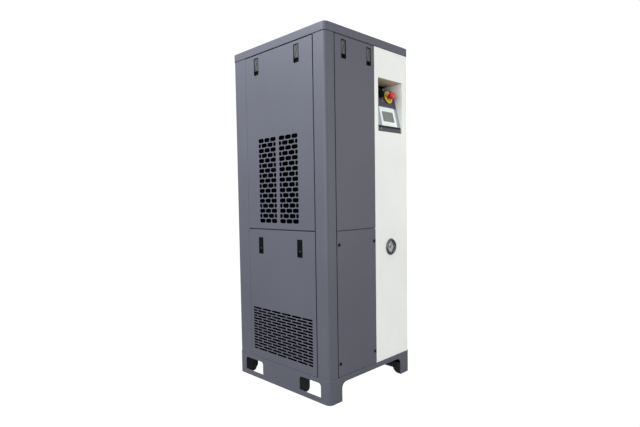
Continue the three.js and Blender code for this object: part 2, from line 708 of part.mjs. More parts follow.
// Mushroom head with a blind socket over the plunger's tip.
function estopHead() {
  const profile = [
    [0, 34 + JOIN_GAP], [5 + JOIN_GAP, 34 + JOIN_GAP], [5 + JOIN_GAP, 14], [15, 14], [16, 23],
    [ESTOP.headR - 1, 25], [ESTOP.headR, 28], [ESTOP.headR - 1.5, 35], [15, 39.5], [8, 42], [0, 42.6],
  ];
  return turned(profile, ESTOP);
}

function selectorBase() {
  const profile = [
    [5.5, -20], [11, -20], [11, JOIN_GAP], [SELECTOR.r, JOIN_GAP], [SELECTOR.r, 4],
    [SELECTOR.r - 3, 7], [5.5, 7], [5.5, -20],
  ];
  return turned(profile, SELECTOR);
}

// Rotary knob: a shaft, a deep round body and a grip bar on top.
function selectorKnob() {
  const { x, y, knobR, knobTop, gripTop } = SELECTOR;
  const body = rod("z", [x, y], 7.5, knobTop, knobR, knobR - 2, 24);
  const grip = block([x - 6, y - knobR + 4, knobTop - 1], [x + 6, y + knobR - 4, gripTop]);
  return rod("z", [x, y], -22, 8, 5, 5, 14).add(body).add(grip);
}

addMesh(plateFrame, "control_plate", controlPlate(), plateGrey);
addMesh(plateFrame, "hmi_bezel", hmiBezel(), bezelWhite);
addMesh(plateFrame, "hmi_screen", hmiScreen(), screenGrey);
addMesh(plateFrame, "estop_collar", estopCollar(), safetyYellow);
addMesh(plateFrame, "estop_plunger", estopPlunger(), blackPlastic);
addMesh(plateFrame, "estop_head", estopHead(), safetyRed);
addMesh(plateFrame, "selector_base", selectorBase(), blackPlastic);
addMesh(plateFrame, "selector_knob", selectorKnob(), blackPlastic);

// ---------------------------------------------------------------- pressure gauge

const gaugeFrame = new THREE.Group(); // z outwards on the gauge's axis, z = 0 at the panel's surface
gaugeFrame.position.set(GAUGE.x, GAUGE.z, FACE);
frontFace.add(gaugeFrame);
const CENTRE = { x: 0, y: 0 };
const GAUGE_FRONT = GAUGE.stand + INSET;

// Flanged case, open in front, with a connection stub at the back.
function gaugeCase() {
  const profile = [
    [0, -48], [7, -48], [7, -32], [GAUGE.bodyR, -32], [GAUGE.bodyR, JOIN_GAP], [GAUGE.flangeR, JOIN_GAP],
    [GAUGE.flangeR, 3], [37, 4.5], [35.5, GAUGE_FRONT], [31.5, GAUGE_FRONT], [31.5, 4], [28.5, 4],
    [28.5, -6], [0, -6],
  ];
  return turned(profile, CENTRE, 22);
}

function gaugeNeedle() {
  const hub = rod("z", [0, 0], -2.2, 1.5, 3.2, 3.2, 12);
  const pointer = polygon([[-1.6, -9], [1.6, -9], [0.7, 25], [-0.7, 25]]);
  const turn = -0.7; // at rest the pointer stands up and to the right
  return hub.add(toSolid(extruded(pointer, 0.9).rotateZ(turn)));
}

addMesh(gaugeFrame, "gauge_case", gaugeCase(), chrome);
addMesh(gaugeFrame, "gauge_dial", rod("z", [0, 0], -5.6, -4, 28, 28, 24), dialWhite);
addMesh(gaugeFrame, "gauge_needle", gaugeNeedle(), blackPlastic);
addMesh(gaugeFrame, "gauge_glass", rod("z", [0, 0], 5, 7, 31, 31, 24), glass);

// ---------------------------------------------------------------- motor, belt and airend

const MOTOR_SHAFT_R = 19;
const AIREND_SHAFT_R = 14;
const SHAFT_CLEAR = 0.5;
const SHAFT_STOP = 65; // from a housing's rear back to its shaft's end

// Cross-section of the motor's barrel: broad fins with grooves between them.
function finnedOutline(radius, count, groove) {
  const points = [];
  for (let i = 0; i < count; i += 1) {
    for (const [offset, depth] of [[0, 0], [0.4, 0], [0.5, groove], [0.9, groove]]) {
      const a = ((i + offset) / count) * Math.PI * 2;
      points.push([(radius - depth) * Math.cos(a), (radius - depth) * Math.sin(a)]);
    }
  }
  return polygon(points);
}

// Finned motor on feet, with a terminal box and an open bore for its shaft.
function driveMotor() {
  const { x, z, r, front, rear } = MOTOR;
  const shield = 30; // each end shield's length
  const barrel = extruded(finnedOutline(r, 16, 12), rear - front - 2 * shield);
  barrel.rotateX(Math.PI / 2).translate(x, rear - shield, z);
  let motor = toSolid(barrel);
  motor = motor.add(rod("y", [x, z], front, front + shield + 2, r - 8, r - 2));
  motor = motor.add(rod("y", [x, z], rear - shield - 2, rear, r - 2, r - 14));
  motor = motor.add(block([x - 45, -40, z + r - 20], [x + 45, 80, z + r + 38]));
  for (const side of [-1, 1]) {
    const foot = x + side * 85;
    const low = [foot - 28, front + 45, POST_LOW + 1];
    motor = motor.add(block(low, [foot + 28, rear - 45, z - r + 60]));
  }
  const bore = MOTOR_SHAFT_R + SHAFT_CLEAR;
  return motor.subtract(rod("y", [x, z], front - 1, rear - 60, bore, bore, 14));
}

// Flanged pulley with its shaft, running along +y from the belt into its housing.
function pulley({ x, z, rear: housingRear }, radius, shaftR) {
  const centre = [x, z];
  const [front, rear] = [BELT.y - BELT.width / 2 - 4, BELT.y + BELT.width / 2 + 4];
  const rim = radius + 5;
  const flanges = rod("y", centre, front, front + 3, rim, rim, 24).add(
    rod("y", centre, rear - 3, rear, rim, rim, 24),
  );
  const drum = rod("y", centre, front, rear, radius, radius, 24);
  const shaft = rod("y", centre, front - 6, housingRear - SHAFT_STOP, shaftR, shaftR, 14);
  return flanges.add(drum).add(shaft);
}

// Outline around two circles, as for a belt; centres [x, z].
function aroundPulleys(extra) {
  const a = new THREE.Vector2(MOTOR.x, MOTOR.z);
  const b = new THREE.Vector2(AIREND.x, AIREND.z);
  const [ra, rb] = [BELT.motorR + extra, BELT.airendR + extra];
  const line = b.clone().sub(a);
  const heading = line.angle();
  const spread = Math.acos((ra - rb) / line.length());
  const shape = new THREE.Shape();
  shape.absarc(a.x, a.y, ra, heading + spread, heading - spread + Math.PI * 2);
  shape.absarc(b.x, b.y, rb, heading - spread, heading + spread);
  return shape;
}

function driveBelt() {
  const layers = [BELT.thick, JOIN_GAP].map((extra) => {
    const width = BELT.width + (extra === JOIN_GAP ? 2 : 0);
    const geometry = extruded(aroundPulleys(extra), width, 10);
    return toSolid(geometry.rotateX(Math.PI / 2).translate(0, BELT.y + width / 2, 0));
  });
  return layers[0].subtract(layers[1]);
}

// Airend casting: ribbed block with an inlet neck on top and a bore for its drive shaft.
function airendHousing() {
  const { x, z, w, h, front, rear } = AIREND;
  // A block centred on the casting's axis, `grow` larger than w by h, between two depths.
  const slice = (growW, growH, y0, y1) => {
    const [halfW, halfH] = [w / 2 + growW, h / 2 + growH];
    return block([x - halfW, y0, z - halfH], [x + halfW, y1, z + halfH]);
  };
  let housing = slice(0, 0, front + 30, rear - 25);
  housing = housing.add(rod("y", [x, z], front, front + 31, 62, 74, 16));
  housing = housing.add(slice(-12, -12, rear - 26, rear));
  for (let i = 0; i < 4; i += 1) {
    const y = front + 60 + i * 50;
    housing = housing.add(slice(6, -8, y, y + 8));
  }
  housing = housing.add(rod("z", [x, 60], z + h / 2 - 1, z + h / 2 + 22, 48, 48, 16));
  const bore = AIREND_SHAFT_R + SHAFT_CLEAR;
  return housing.subtract(rod("y", [x, z], front - 1, rear - 60, bore, bore, 14));
}

addMesh(compressor, "drive_motor", driveMotor(), motorGrey);
addMesh(compressor, "motor_pulley", pulley(MOTOR, BELT.motorR, MOTOR_SHAFT_R), castIron);
addMesh(compressor, "airend_housing", airendHousing(), castIron);
addMesh(compressor, "airend_pulley", pulley(AIREND, BELT.airendR, AIREND_SHAFT_R), castIron);
addMesh(compressor, "drive_belt", driveBelt(), rubber);

// ---------------------------------------------------------------- oil circuit, filters and cooling

// Upright separator tank with domed ends, a flanged lid, legs and a filler neck.
function separatorTank() {
  const { x, y, r, bottom, top } = TANK;
  let tank = rod("z", [x, y], bottom + 30, top - 14, r, r, 20);
  tank = tank.add(rod("z", [x, y], bottom, bottom + 31, r * 0.72, r, 20));
  tank = tank.add(rod("z", [x, y], top - 34, top - 16, r + 14, r + 14, 20));
  tank = tank.add(rod("z", [x, y], top - 16, top + 16, r - 12, r - 12, 20));
  for (let i = 0; i < 3; i += 1) {
    const a = Math.PI / 6 + (i * Math.PI * 2) / 3;
    const [legX, legY] = [x + (r - 20) * Math.cos(a), y + (r - 20) * Math.sin(a)];
    tank = tank.add(block([legX - 14, legY - 14, POST_LOW + 1], [legX + 14, legY + 14, bottom + 40]));
  }
  tank = tank.add(rod("x", [y, bottom + 120], x - r - 25, x, 17, 17, 16));
  const hollow = rod("z", [x, y], bottom + 12, top - 22, r - 6, r - 6, 20);
  const outlet = rod("z", [x, y], top - 30, top + 17, 11, 11, 12);
  return tank.subtract(hollow).subtract(outlet);
}

// Spin-on filter can on a head that joins the tank's side.
function oilFilter() {
  const x = TANK.x;
  const y = TANK.y - TANK.r - 62;
  const head = block([x - 30, y - 30, 470], [x + 30, TANK.y - TANK.r - JOIN_GAP, 505]);
  return rod("z", [x, y], 330, 462, 46, 46, 20).add(rod("z", [x, y], 460, 472, 38, 38, 14)).add(head);
}

// Air filter canister above the airend inlet.
function intakeFilter() {
  const low = AIREND.z + AIREND.h / 2 + 22 + JOIN_GAP;
  const neck = rod("z", [AIREND.x, 60], low, low + 45, 40, 40, 16);
  const can = rod("z", [AIREND.x, 60], low + 44, low + 250, 76, 76, 20);
  return neck.add(can).add(rod("z", [AIREND.x, 60], low + 249, low + 262, 70, 62, 20));
}

const COOLER = { halfX: 230, front: -55, rear: 275, low: 1390, high: 1450 };

// Plate-fin cooler block lying under the fan, with side tanks and coarse fin rows.
function oilCooler() {
  const { halfX, front, rear, low, high } = COOLER;
  let core = block([-halfX, front, low], [halfX, rear, high]);
  const gaps = [];
  const rows = 11;
  const pitch = (rear - front - 40) / rows;
  for (let i = 0; i < rows; i += 1) {
    const y = front + 20 + i * pitch;
    gaps.push(block([-halfX + 28, y, low - 1], [halfX - 28, y + pitch * 0.55, high + 1]));
  }
  core = cutAll(core, gaps);
  return core.add(rod("y", [-halfX - 8, (low + high) / 2], front + 20, rear - 20, 16, 16, 16));
}

// Fan frame: a square plate with a round duct and a guard cross that carries the motor pin.
function fanShroud() {
  const { x, y, r, z } = FAN;
  const low = COOLER.high + JOIN_GAP;
  const plate = block([-COOLER.halfX, COOLER.front, low], [COOLER.halfX, COOLER.rear, low + 3]);
  const duct = rod("z", [x, y], low, z + 55, r + 8, r + 8, 24);
  const open = rod("z", [x, y], low - 1, z + 56, r + 5, r + 5, 24);
  const bars = [block([x - r - 6, y - 6, z + 40], [x + r + 6, y + 6, z + 46])];
  bars.push(block([x - 6, y - r - 6, z + 40], [x + 6, y + r + 6, z + 46]));
  const pin = rod("z", [x, y], z + 28, z + 46, 7, 7, 16);
  return plate.add(duct).subtract(open).add(bars[0]).add(bars[1]).add(pin);
}

// External-rotor fan: a hub with a socket for the pin and seven swept blades.
function fanRotor() {
  const { x, y, r, z } = FAN;
  let rotor = rod("z", [x, y], z - 30, z + 34, 52, 52, 20);
  const blades = 7;
  for (let i = 0; i < blades; i += 1) {
    const outline = polygon([[44, -22], [r - 4, -38], [r, 0], [r - 8, 30], [44, 18]]);
    const blade = extruded(outline, 2.5);
    blade.translate(0, 0, -1.2).rotateX(0.42);
    blade.rotateZ((i / blades) * Math.PI * 2).translate(x, y, z);
    rotor = rotor.add(toSolid(blade));
  }
  return rotor.subtract(rod("z", [x, y], z + 20, z + 35, 7.6, 7.6, 16));
}

// Electrical cabinet behind the console, with an open cable slot at the bottom.
function electricalBox() {
  const [low, high] = [[20, -198, 960], [296, -72, 1600]];
  const wall = 1.5;
  const outer = block(low, high);
  const inner = block(low.map((v) => v + wall), high.map((v) => v - wall));
  const slot = block([80, -160, 950], [230, -110, 970]);
  return outer.subtract(inner).subtract(slot);
}

// Pipe from the airend's side up to the cooler's side tank.
function coolerPipe() {
  const route = new THREE.CatmullRomCurve3([
    new THREE.Vector3(-238, 29, 700),
    new THREE.Vector3(-248, 29, 703),
    new THREE.Vector3(-257, 30, 722),
    new THREE.Vector3(-258, 40, 900),
    new THREE.Vector3(-258, 95, 1200),
    new THREE.Vector3(-256, 110, 1340),
    new THREE.Vector3(-247, 110, 1388),
  ]);
  const section = new THREE.Shape().absarc(0, 0, 8, 0, Math.PI * 2);
  const geometry = new THREE.ExtrudeGeometry(section, {
    extrudePath: route,
    steps: 16,
    curveSegments: 4,
    bevelEnabled: false,
  });
  return toSolid(geometry);
}

addMesh(compressor, "separator_tank", separatorTank(), tankBlack);
addMesh(compressor, "oil_filter", oilFilter(), filterWhite);
addMesh(compressor, "intake_filter", intakeFilter(), blackPlastic);
addMesh(compressor, "oil_cooler", oilCooler(), aluminium);
addMesh(compressor, "fan_shroud", fanShroud(), tankBlack);
addMesh(compressor, "fan_rotor", fanRotor(), blackPlastic);
addMesh(compressor, "electrical_box", electricalBox(), cabinetGrey);
addMesh(compressor, "cooler_pipe", coolerPipe(), steel);

export default compressor;
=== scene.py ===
"""Enclosed vertical screw compressor: its looks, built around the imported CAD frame.

Metres, +Z up, the front faces -Y. Covers, posts, base and roof are built as real bent sheets: a flat with
its holes, rolled edges and return flanges. Small parts are lofts and turned pieces. Every piece is placed
from the CAD frame.
"""

import json
import math

import bmesh
import bpy
from mathutils import Matrix, Vector
from mathutils.geometry import tessellate_polygon


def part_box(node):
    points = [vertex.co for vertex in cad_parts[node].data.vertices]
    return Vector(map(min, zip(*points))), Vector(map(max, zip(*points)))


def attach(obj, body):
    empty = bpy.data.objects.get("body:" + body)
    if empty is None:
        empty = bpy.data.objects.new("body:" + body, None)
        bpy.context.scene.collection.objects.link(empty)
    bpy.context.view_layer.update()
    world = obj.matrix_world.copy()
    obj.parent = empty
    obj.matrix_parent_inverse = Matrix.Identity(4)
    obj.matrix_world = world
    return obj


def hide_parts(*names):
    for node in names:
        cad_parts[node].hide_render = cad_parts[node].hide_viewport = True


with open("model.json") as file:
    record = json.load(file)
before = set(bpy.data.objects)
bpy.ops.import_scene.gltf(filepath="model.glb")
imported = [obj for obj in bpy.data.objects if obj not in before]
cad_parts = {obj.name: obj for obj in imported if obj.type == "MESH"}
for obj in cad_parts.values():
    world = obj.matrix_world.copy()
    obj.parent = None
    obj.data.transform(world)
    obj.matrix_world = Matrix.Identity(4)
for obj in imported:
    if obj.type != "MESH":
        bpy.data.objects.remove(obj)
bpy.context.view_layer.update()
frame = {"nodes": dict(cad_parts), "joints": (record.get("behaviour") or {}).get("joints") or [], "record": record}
NODES = frame["nodes"]
JOINTS = {joint["name"]: joint for joint in frame["joints"]}
BODY_OF = {
    node: body
    for body, nodes in frame["record"]["behaviour"]["bodies"].items()
    for node in nodes
}

# -------- driving dimensions

MM = 0.001
EDGE = 0.3 * MM  # rounding of a cut edge
SAME = 1e-6  # points closer than this are one
BEND_STEPS = 5  # facets in a quarter turn of a small bend
CORNER_STEPS = 14  # facets in a quarter turn of a cabinet corner
TURN_STEPS = 48  # facets round a turned piece
SHARP = math.radians(38)  # edges that fold more than this are shaded sharp


def mm(**sizes):
    """Named sizes, given in millimetres."""
    return {name: size * MM for name, size in sizes.items()}


PANEL = mm(sheet=1.5, bend=1.8, corner=2.5)
POST = mm(sheet=2, bend=3)
ROOF = mm(sheet=2.5, bend=3, lip=27)
BASE = mm(sheet=3, edge=1, foot=26)
SKIN_CORNER, BASE_CORNER = 22 * MM, 24 * MM  # corner radii: of posts and light panel, of base and roof
LIP = 18 * MM  # return flange of posts and light panel
TRAY_WALL = 2 * MM
POCKET = mm(pitch=404, w=137, low=26, high=92, corner=14, foot=1)
POCKET_FLAP = mm(low=1, high=88, reach=72, corner=20)
LEG = mm(inner=87, arch=28, rail=87)
LEG_FLAP = mm(low=1, high=59, reach=49, corner=35)

LATCH = mm(w=31, h=81, cup=14, above=1.5, corner=2.5)
HOLE = mm(air_outlet=25, cable_gland=15, gauge=32, button=11.5, screw=2.9)  # radii of round holes
# Of the grilles, `low` is the height of the lowest row, `half` runs from the middle to a block's middle or
# to the end of the slots, and `shift` moves a grille towards the front of its side cover.
OVAL = mm(w=40, h=20.5, pitch_u=44, pitch_v=25, low=829, half=75, shift=8)
SLOT = mm(w=65, h=9.5, pitch_u=71.8, pitch_v=14.2, low=159.5, half=212, shift=12)
ROOF_SLOT = mm(w=170, h=12, pitch=27, x=100)
OVAL_ROWS, SLOT_ROWS, ROOF_ROWS = 17, 16, 10
OVAL_ROUND, SLOT_ROUND, ROOF_ROUND = 0.42, 0.4, 0.45  # corner radius over a hole's smaller side
MAT = mm(front=9, thick=6, margin=14)  # filter mat behind a grille

# -------- places in the frame


def basis(origin, right, up):
    """Matrix of a frame with u along `right`, v along `up` and w towards the viewer."""
    right, up = Vector(right), Vector(up)
    matrix = Matrix((right, up, right.cross(up))).transposed().to_4x4()
    matrix.translation = origin
    return matrix


SKIN = -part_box("front_left_post")[0].x  # distance of the covers' outer surface from the centre
RIGHT_OF = {"front": (1, 0, 0), "left": (0, -1, 0), "right": (0, 1, 0), "rear": (-1, 0, 0)}
UP = Vector((0, 0, 1))
FACE = {side: basis(Vector(way).cross(UP) * SKIN, way, UP) for side, way in RIGHT_OF.items()}

PLATE_OUT = -Vector(JOINTS["estop_push"]["axis"])
PLATE_UP = PLATE_OUT.cross(Vector((1, 0, 0)))


def axis_frame(joint, up):
    """Frame on a joint's place, with w along the axis out of the cabinet."""
    return basis(Vector(JOINTS[joint]["pos_m"]), (1, 0, 0), up)


def local_box(matrix, node):
    """Lowest and highest corner of a CAD node, measured in a frame."""
    back = matrix.inverted()
    points = [back @ vertex.co for vertex in NODES[node].data.vertices]
    low = Vector([min(point[i] for point in points) for i in range(3)])
    high = Vector([max(point[i] for point in points) for i in range(3)])
    return low, high


def flat_box(matrix, node):
    """Middle and size of a CAD node in the plane of a frame."""
    low, high = local_box(matrix, node)
    return ((low + high) / 2).xy, (high - low).xy


# -------- outlines


def heading_at(angle):
    """Flat unit vector at an angle from u."""
    return Vector((math.cos(angle), math.sin(angle)))


def circle(steps=TURN_STEPS, centre=(0, 0)):
    """Track round a point: (point, outward normal) pairs, which a ring moves out by its radius."""
    angles = [2 * math.pi * k / steps for k in range(steps)]
    return [(Vector(centre), heading_at(angle)) for angle in angles]


def hole_round(centre, radius, steps=40):
    """Track of a round hole."""
    return [(point + normal * radius, normal) for point, normal in circle(steps, centre)]


def rounded_rect(centre, size, radii, steps=BEND_STEPS):
    """Track round a rectangle, counter-clockwise; `radii` is one radius, or four from lower right on."""
    track = []
    corners = [(1, -1), (1, 1), (-1, 1), (-1, -1)]
    for turn, (side, level) in enumerate(corners):
        radius = radii[turn] if isinstance(radii, list) else radii
        reach = Vector((side * (size[0] / 2 - radius), level * (size[1] / 2 - radius)))
        for k in range(steps + 1):
            normal = heading_at((turn - 1 + k / steps) * math.pi / 2)
            track.append((Vector(centre) + reach + normal * radius, normal))
    return track


def spun(vector, angle):
    """A flat vector turned by an angle, counter-clockwise."""
    cos, sin = math.cos(angle), math.sin(angle)
    return Vector((vector.x * cos - vector.y * sin, vector.x * sin + vector.y * cos))


def bent(corners, radii, side, steps=BEND_STEPS):
    """Path of straight runs with rounded corners: (point, normal, corner) entries.

    The normal points to the left of the path with side 1, and to its right with side -1."""
    points = [Vector(corner) for corner in corners]
    path = []
    for i, corner in enumerate(points):
        heading = (corner - points[i - 1] if i else points[1] - corner).normalized()
        radius = radii[i]
        if radius == 0:
            path.append((corner, spun(heading, side * math.pi / 2), i))
            continue
        ahead = (points[i + 1] - corner).normalized()
        turn = math.atan2(heading.cross(ahead), heading.dot(ahead))
        start = corner - heading * radius * math.tan(abs(turn) / 2)
        centre = start + spun(heading, math.copysign(math.pi / 2, turn)) * radius
        for k in range(steps + 1):
            part = turn * k / steps
            point = centre + spun(start - centre, part)
            path.append((point, spun(heading, part + side * math.pi / 2), i))
    return [e for i, e in enumerate(path) if i == 0 or (e[0] - path[i - 1][0]).length > 1e-7]


def sheet_rim(corners, radii, thickness):
    """(offset, w) profile of a bent edge: along the outer skin, round the cut end, back inside."""
    path = bent(corners, radii, side=-1)
    outer = [tuple(point) for point, _, _ in path]
    inner = [tuple(point + normal * thickness) for point, normal, _ in reversed(path)]
    return outer + inner


def softened(points, radius, steps=3):
    """An open profile with its inner corners rounded, each by no more than its neighbours allow."""
    points = [Vector(point) for point in points]
    limits = [(b - a).length * 0.45 for a, b in zip(points, points[1:])]
    radii = [0] + [radius] * (len(points) - 2) + [0]
    for i in range(1, len(points) - 1):
        fold = (points[i] - points[i - 1]).angle(points[i + 1] - points[i])
        radii[i] = min(radius, min(limits[i - 1], limits[i]) / max(math.tan(fold / 2), 0.05))
    return [tuple(point) for point, _, _ in bent(points, radii, side=1, steps=steps)]


def slab_profile(low, high, radius):
    """(offset, w) profile of a flat block with both edges rounded, from its back to its front."""
    return softened([(-3 * radius, low), (0, low), (0, high), (-3 * radius, high)], radius)


def rod(radius, low, high):
    """(offset, w) profile of a turned rod or disc."""
    return [(0, low), (radius, low), (radius, high), (0, high)]


# -------- mesh building


def add_object(name, data):
    made = bpy.data.objects.new(name, data)
    bpy.context.scene.collection.objects.link(made)
    return made


class Build:
    """A mesh being built. `at` is the frame that its coordinates are given in."""

    def __init__(self, at=None):
        self.bm = bmesh.new()
        self.at = at or Matrix()

    def point(self, x, y, z):
        return self.bm.verts.new(self.at @ Vector((x, y, z)))

    def ring(self, track, offset, w):
        return [self.point(*(point + normal * offset), w) for point, normal in track]

    def face(self, corners):
        self.bm.faces.new(corners)

    def bridge(self, first, second):
        for k in range(len(first)):
            self.face((first[k - 1], first[k], second[k], second[k - 1]))

    def strip(self, rings):
        for first, second in zip(rings, rings[1:]):
            self.bridge(first, second)

    def fill(self, outline, holes=()):
        loops = [outline, *holes]
        corners = [vertex for loop in loops for vertex in loop]
        for triangle in tessellate_polygon([[vertex.co for vertex in loop] for loop in loops]):
            self.face([corners[i] for i in triangle])

    def loft(self, track, profile, capped=True):
        """Rings round a track, one for each (offset, w) of the profile."""
        rings = [self.ring(track, offset, w) for offset, w in profile]
        self.strip(rings)
        if capped:
            self.face(rings[0])
            self.face(rings[-1])

    def turned(self, profile, steps=TURN_STEPS):
        """A turned piece round w; the profile runs from the axis back to it."""
        self.loft(circle(steps), profile, capped=False)

    def slab(self, track, low, high, radius=EDGE):
        self.loft(track, slab_profile(low, high, radius))

    def cuts(self, holes, thickness):
        """Walls of holes through a sheet, with eased edges; returns their rings on the two skins."""
        steps = [(EDGE, 0), (0, -EDGE), (0, EDGE - thickness), (EDGE, -thickness)]
        outer, inner = [], []
        for hole in holes:
            rings = [self.ring(hole, offset, w) for offset, w in steps]
            self.strip(rings)
            outer.append(rings[0])
            inner.append(rings[-1])
        return outer, inner

    def pierced(self, outline, rim, holes, thickness):
        """A flat sheet with holes and a shaped rim."""
        rings = [self.ring(outline, offset, w) for offset, w in rim]
        self.strip(rings)
        outer, inner = self.cuts(holes, thickness)
        self.fill(rings[0], outer)
        self.fill(rings[-1], inner)

    def bent_wall(self, corners, radii, thickness, low, high, flats=None):
        """An upright sheet bent along a plan, its inner side on the left.

        `flats` gives, for the flat after a corner, its outline and holes, in distance and height."""
        flats = flats or {}
        section = [(0, low), (0, high), (thickness, high), (thickness, low)]

        def cut(place, normal):
            return [self.point(*(place + normal * depth), z) for depth, z in section]

        path = bent(corners, radii, side=1, steps=CORNER_STEPS)
        last = path[-1][2]
        for (start, normal, i), (end, turned, j) in zip(path, path[1:]):
            if i != j and i in flats:
                self.flat_wall(start, end, *flats[i], thickness, (i > 0, j < last))
            else:
                self.bridge(cut(start, normal), cut(end, turned))
        if 0 not in flats:
            self.face(cut(*path[0][:2]))
        if last - 1 not in flats:
            self.face(cut(*path[-1][:2]))

    def flat_wall(self, start, end, outline, holes, thickness, joined):
        """One flat of a bent wall with its own outline, open where it is joined to a bend."""
        along = (end - start).normalized()
        length = (end - start).length
        kept = self.at
        self.at = basis((*start, 0), (*along, 0), UP)
        front = [self.point(s, z, 0) for s, z in outline]
        back = [self.point(s, z, -thickness) for s, z in outline]
        for k in range(len(outline)):
            s0, s1 = outline[k - 1][0], outline[k][0]
            at_start = joined[0] and max(s0, s1) < SAME
            at_end = joined[1] and min(s0, s1) > length - SAME
            if not at_start and not at_end:
                self.face((front[k - 1], front[k], back[k], back[k - 1]))
        outer, inner = self.cuts(holes, thickness)
        self.fill(front, outer)
        self.fill(back, inner)
        self.at = kept

    def weld(self):
        """Joins points that coincide and turns the faces outwards."""
        bmesh.ops.remove_doubles(self.bm, verts=self.bm.verts, dist=SAME)
        bmesh.ops.recalc_face_normals(self.bm, faces=self.bm.faces)

    def ease_top(self, level, radius):
        """Rounds the outer upper edge of a wall that stands round the middle."""
        self.weld()
        least = 1e-3  # outward lean that marks the outer skin
        edges = [
            edge for edge in self.bm.edges
            if all(abs(vertex.co.z - level) < SAME for vertex in edge.verts)
            and any(face.normal.xy.dot(face.calc_center_median().xy) > least for face in edge.link_faces)
        ]
        bmesh.ops.bevel(self.bm, geom=edges, offset=radius, segments=3, profile=0.5, affect="EDGES")

    def mirrored(self, axis):
        flip = Matrix.Scale(-1, 4, Vector([float(i == axis) for i in range(3)]))
        self.bm.transform(flip)

    def mesh(self, name):
        """The finished mesh, shaded smooth apart from its sharp folds."""
        self.weld()
        for face in self.bm.faces:
            face.smooth = True
        for edge in self.bm.edges:
            edge.smooth = edge.calc_face_angle(math.pi) < SHARP
        made = bpy.data.meshes.new(name)
        self.bm.to_mesh(made)
        self.bm.free()
        return made

    def piece(self, name, node, materials, replaces=()):
        """Finishes the mesh as a piece that rides on a node's body."""
        made = add_object(name, self.mesh(name))
        for material in materials if isinstance(materials, list) else [materials]:
            made.data.materials.append(material)
        made.modifiers.new("normals", "WEIGHTED_NORMAL").keep_sharp = True
        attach(made, BODY_OF[node])
        if replaces:
            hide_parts(*replaces)
        return made

    def stand_in(self, node, name, materials):
        """Finishes the mesh as the piece that replaces a node."""
        return self.piece(name, node, materials, replaces=[node])


# -------- materials


def tone(levels, factor):
    """Linear colour from display levels of 0 to 255, made lighter or darker by a factor."""
    shares = [level / 255 for level in levels]
    linear = [s / 12.92 if s <= 0.04045 else ((s + 0.055) / 1.055) ** 2.4 for s in shares]
    return (*[channel * factor for channel in linear], 1)


class Shader:
    """A material's node tree, with short calls to add to it."""

    def __init__(self, name):
        self.material = bpy.data.materials.new(name)
        self.material.use_nodes = True
        self.tree = self.material.node_tree
        self.surface = self.tree.nodes["Principled BSDF"]
        self.place = self.node("ShaderNodeTexCoord").outputs["Object"]

    def node(self, kind, inputs=None, **settings):
        made = self.tree.nodes.new(kind)
        for key, value in settings.items():
            setattr(made, key, value)
        for key, value in (inputs or {}).items():
            self.put(made.inputs[key], value)
        return made

    def put(self, socket, value):
        if isinstance(value, bpy.types.NodeSocket):
            self.tree.links.new(value, socket)
        else:
            socket.default_value = value

    def set(self, **inputs):
        for key, value in inputs.items():
            self.put(self.surface.inputs[key.replace("_", " ")], value)

    def noise(self, scale, detail=3.0, stretch=(1, 1, 1)):
        place = self.node("ShaderNodeMapping", {"Vector": self.place, "Scale": stretch}).outputs[0]
        inputs = {"Vector": place, "Scale": scale, "Detail": detail}
        return self.node("ShaderNodeTexNoise", inputs).outputs["Fac"]

    def spread(self, source, low, high):
        """A noise value carried from its usual span to low and high."""
        inputs = {"Value": source, "From Min": 0.3, "From Max": 0.7, "To Min": low, "To Max": high}
        return self.node("ShaderNodeMapRange", inputs).outputs[0]

    def blend(self, share, first, second):
        made = self.node("ShaderNodeMix", data_type="RGBA")
        self.put(made.inputs["Factor"], share)
        self.put(made.inputs[6], first)
        self.put(made.inputs[7], second)
        return made.outputs[2]

    def bump(self, height, strength, distance):
        inputs = {"Height": height, "Strength": strength, "Distance": distance}
        return self.node("ShaderNodeBump", inputs).outputs[0]


def surface(name, colour, cloud, tones, grain, rough, relief=None, **inputs):
    """Shader whose colour clouds between two tones, and whose gloss and relief follow a finer grain."""
    shader = Shader(name)
    share = shader.spread(shader.noise(*cloud), 0, 1)
    low, high = (tone(colour, factor) for factor in tones)
    fine = shader.noise(*grain)
    shader.set(Base_Color=shader.blend(share, low, high), Roughness=shader.spread(fine, *rough), **inputs)
    if relief:
        shader.set(Normal=shader.bump(fine, *relief))
    return shader


def powder_coat(name, colour, roughness, sheen=0.5):
    """Textured paint: fine orange peel, slightly uneven sheen and faint clouding."""
    peel = (520, 2)
    shader = surface(name, colour, (2.6, 4), (0.95, 1.05), peel, (roughness - 0.06, roughness + 0.06),
                     Specular_IOR_Level=sheen)
    both = {0: shader.noise(*peel), 1: shader.noise(1900, 2)}
    relief = shader.node("ShaderNodeMath", both, operation="ADD").outputs[0]
    shader.set(Normal=shader.bump(relief, 0.35, 0.12 * MM))
    return shader.material


def moulded(name, colour, roughness, sheen=0.5):
    """Moulded plastic with a fine spark-eroded texture."""
    rough = (roughness - 0.08, roughness + 0.08)
    return surface(name, colour, (18, 3), (0.92, 1.06), (1500, 3), rough, (0.3, 0.06 * MM),
                   Specular_IOR_Level=sheen).material


def glossy(name, colour, roughness):
    """Smooth polished plastic or enamel with a clear top layer."""
    rough = (roughness - 0.04, roughness + 0.08)
    return surface(name, colour, (40, 3), (0.9, 1.08), (260, 4), rough,
                   Coat_Weight=0.4, Coat_Roughness=0.12).material


def metal(name, colour, roughness, stretch=(1, 1, 1), depth=0.04 * MM):
    """Machined or drawn metal; `stretch` flattens the grain along the machining marks."""
    rough = (roughness - 0.08, roughness + 0.12)
    return surface(name, colour, (30, 4), (0.82, 1.08), (240, 5, stretch), rough, (0.4, depth),
                   Metallic=1.0).material


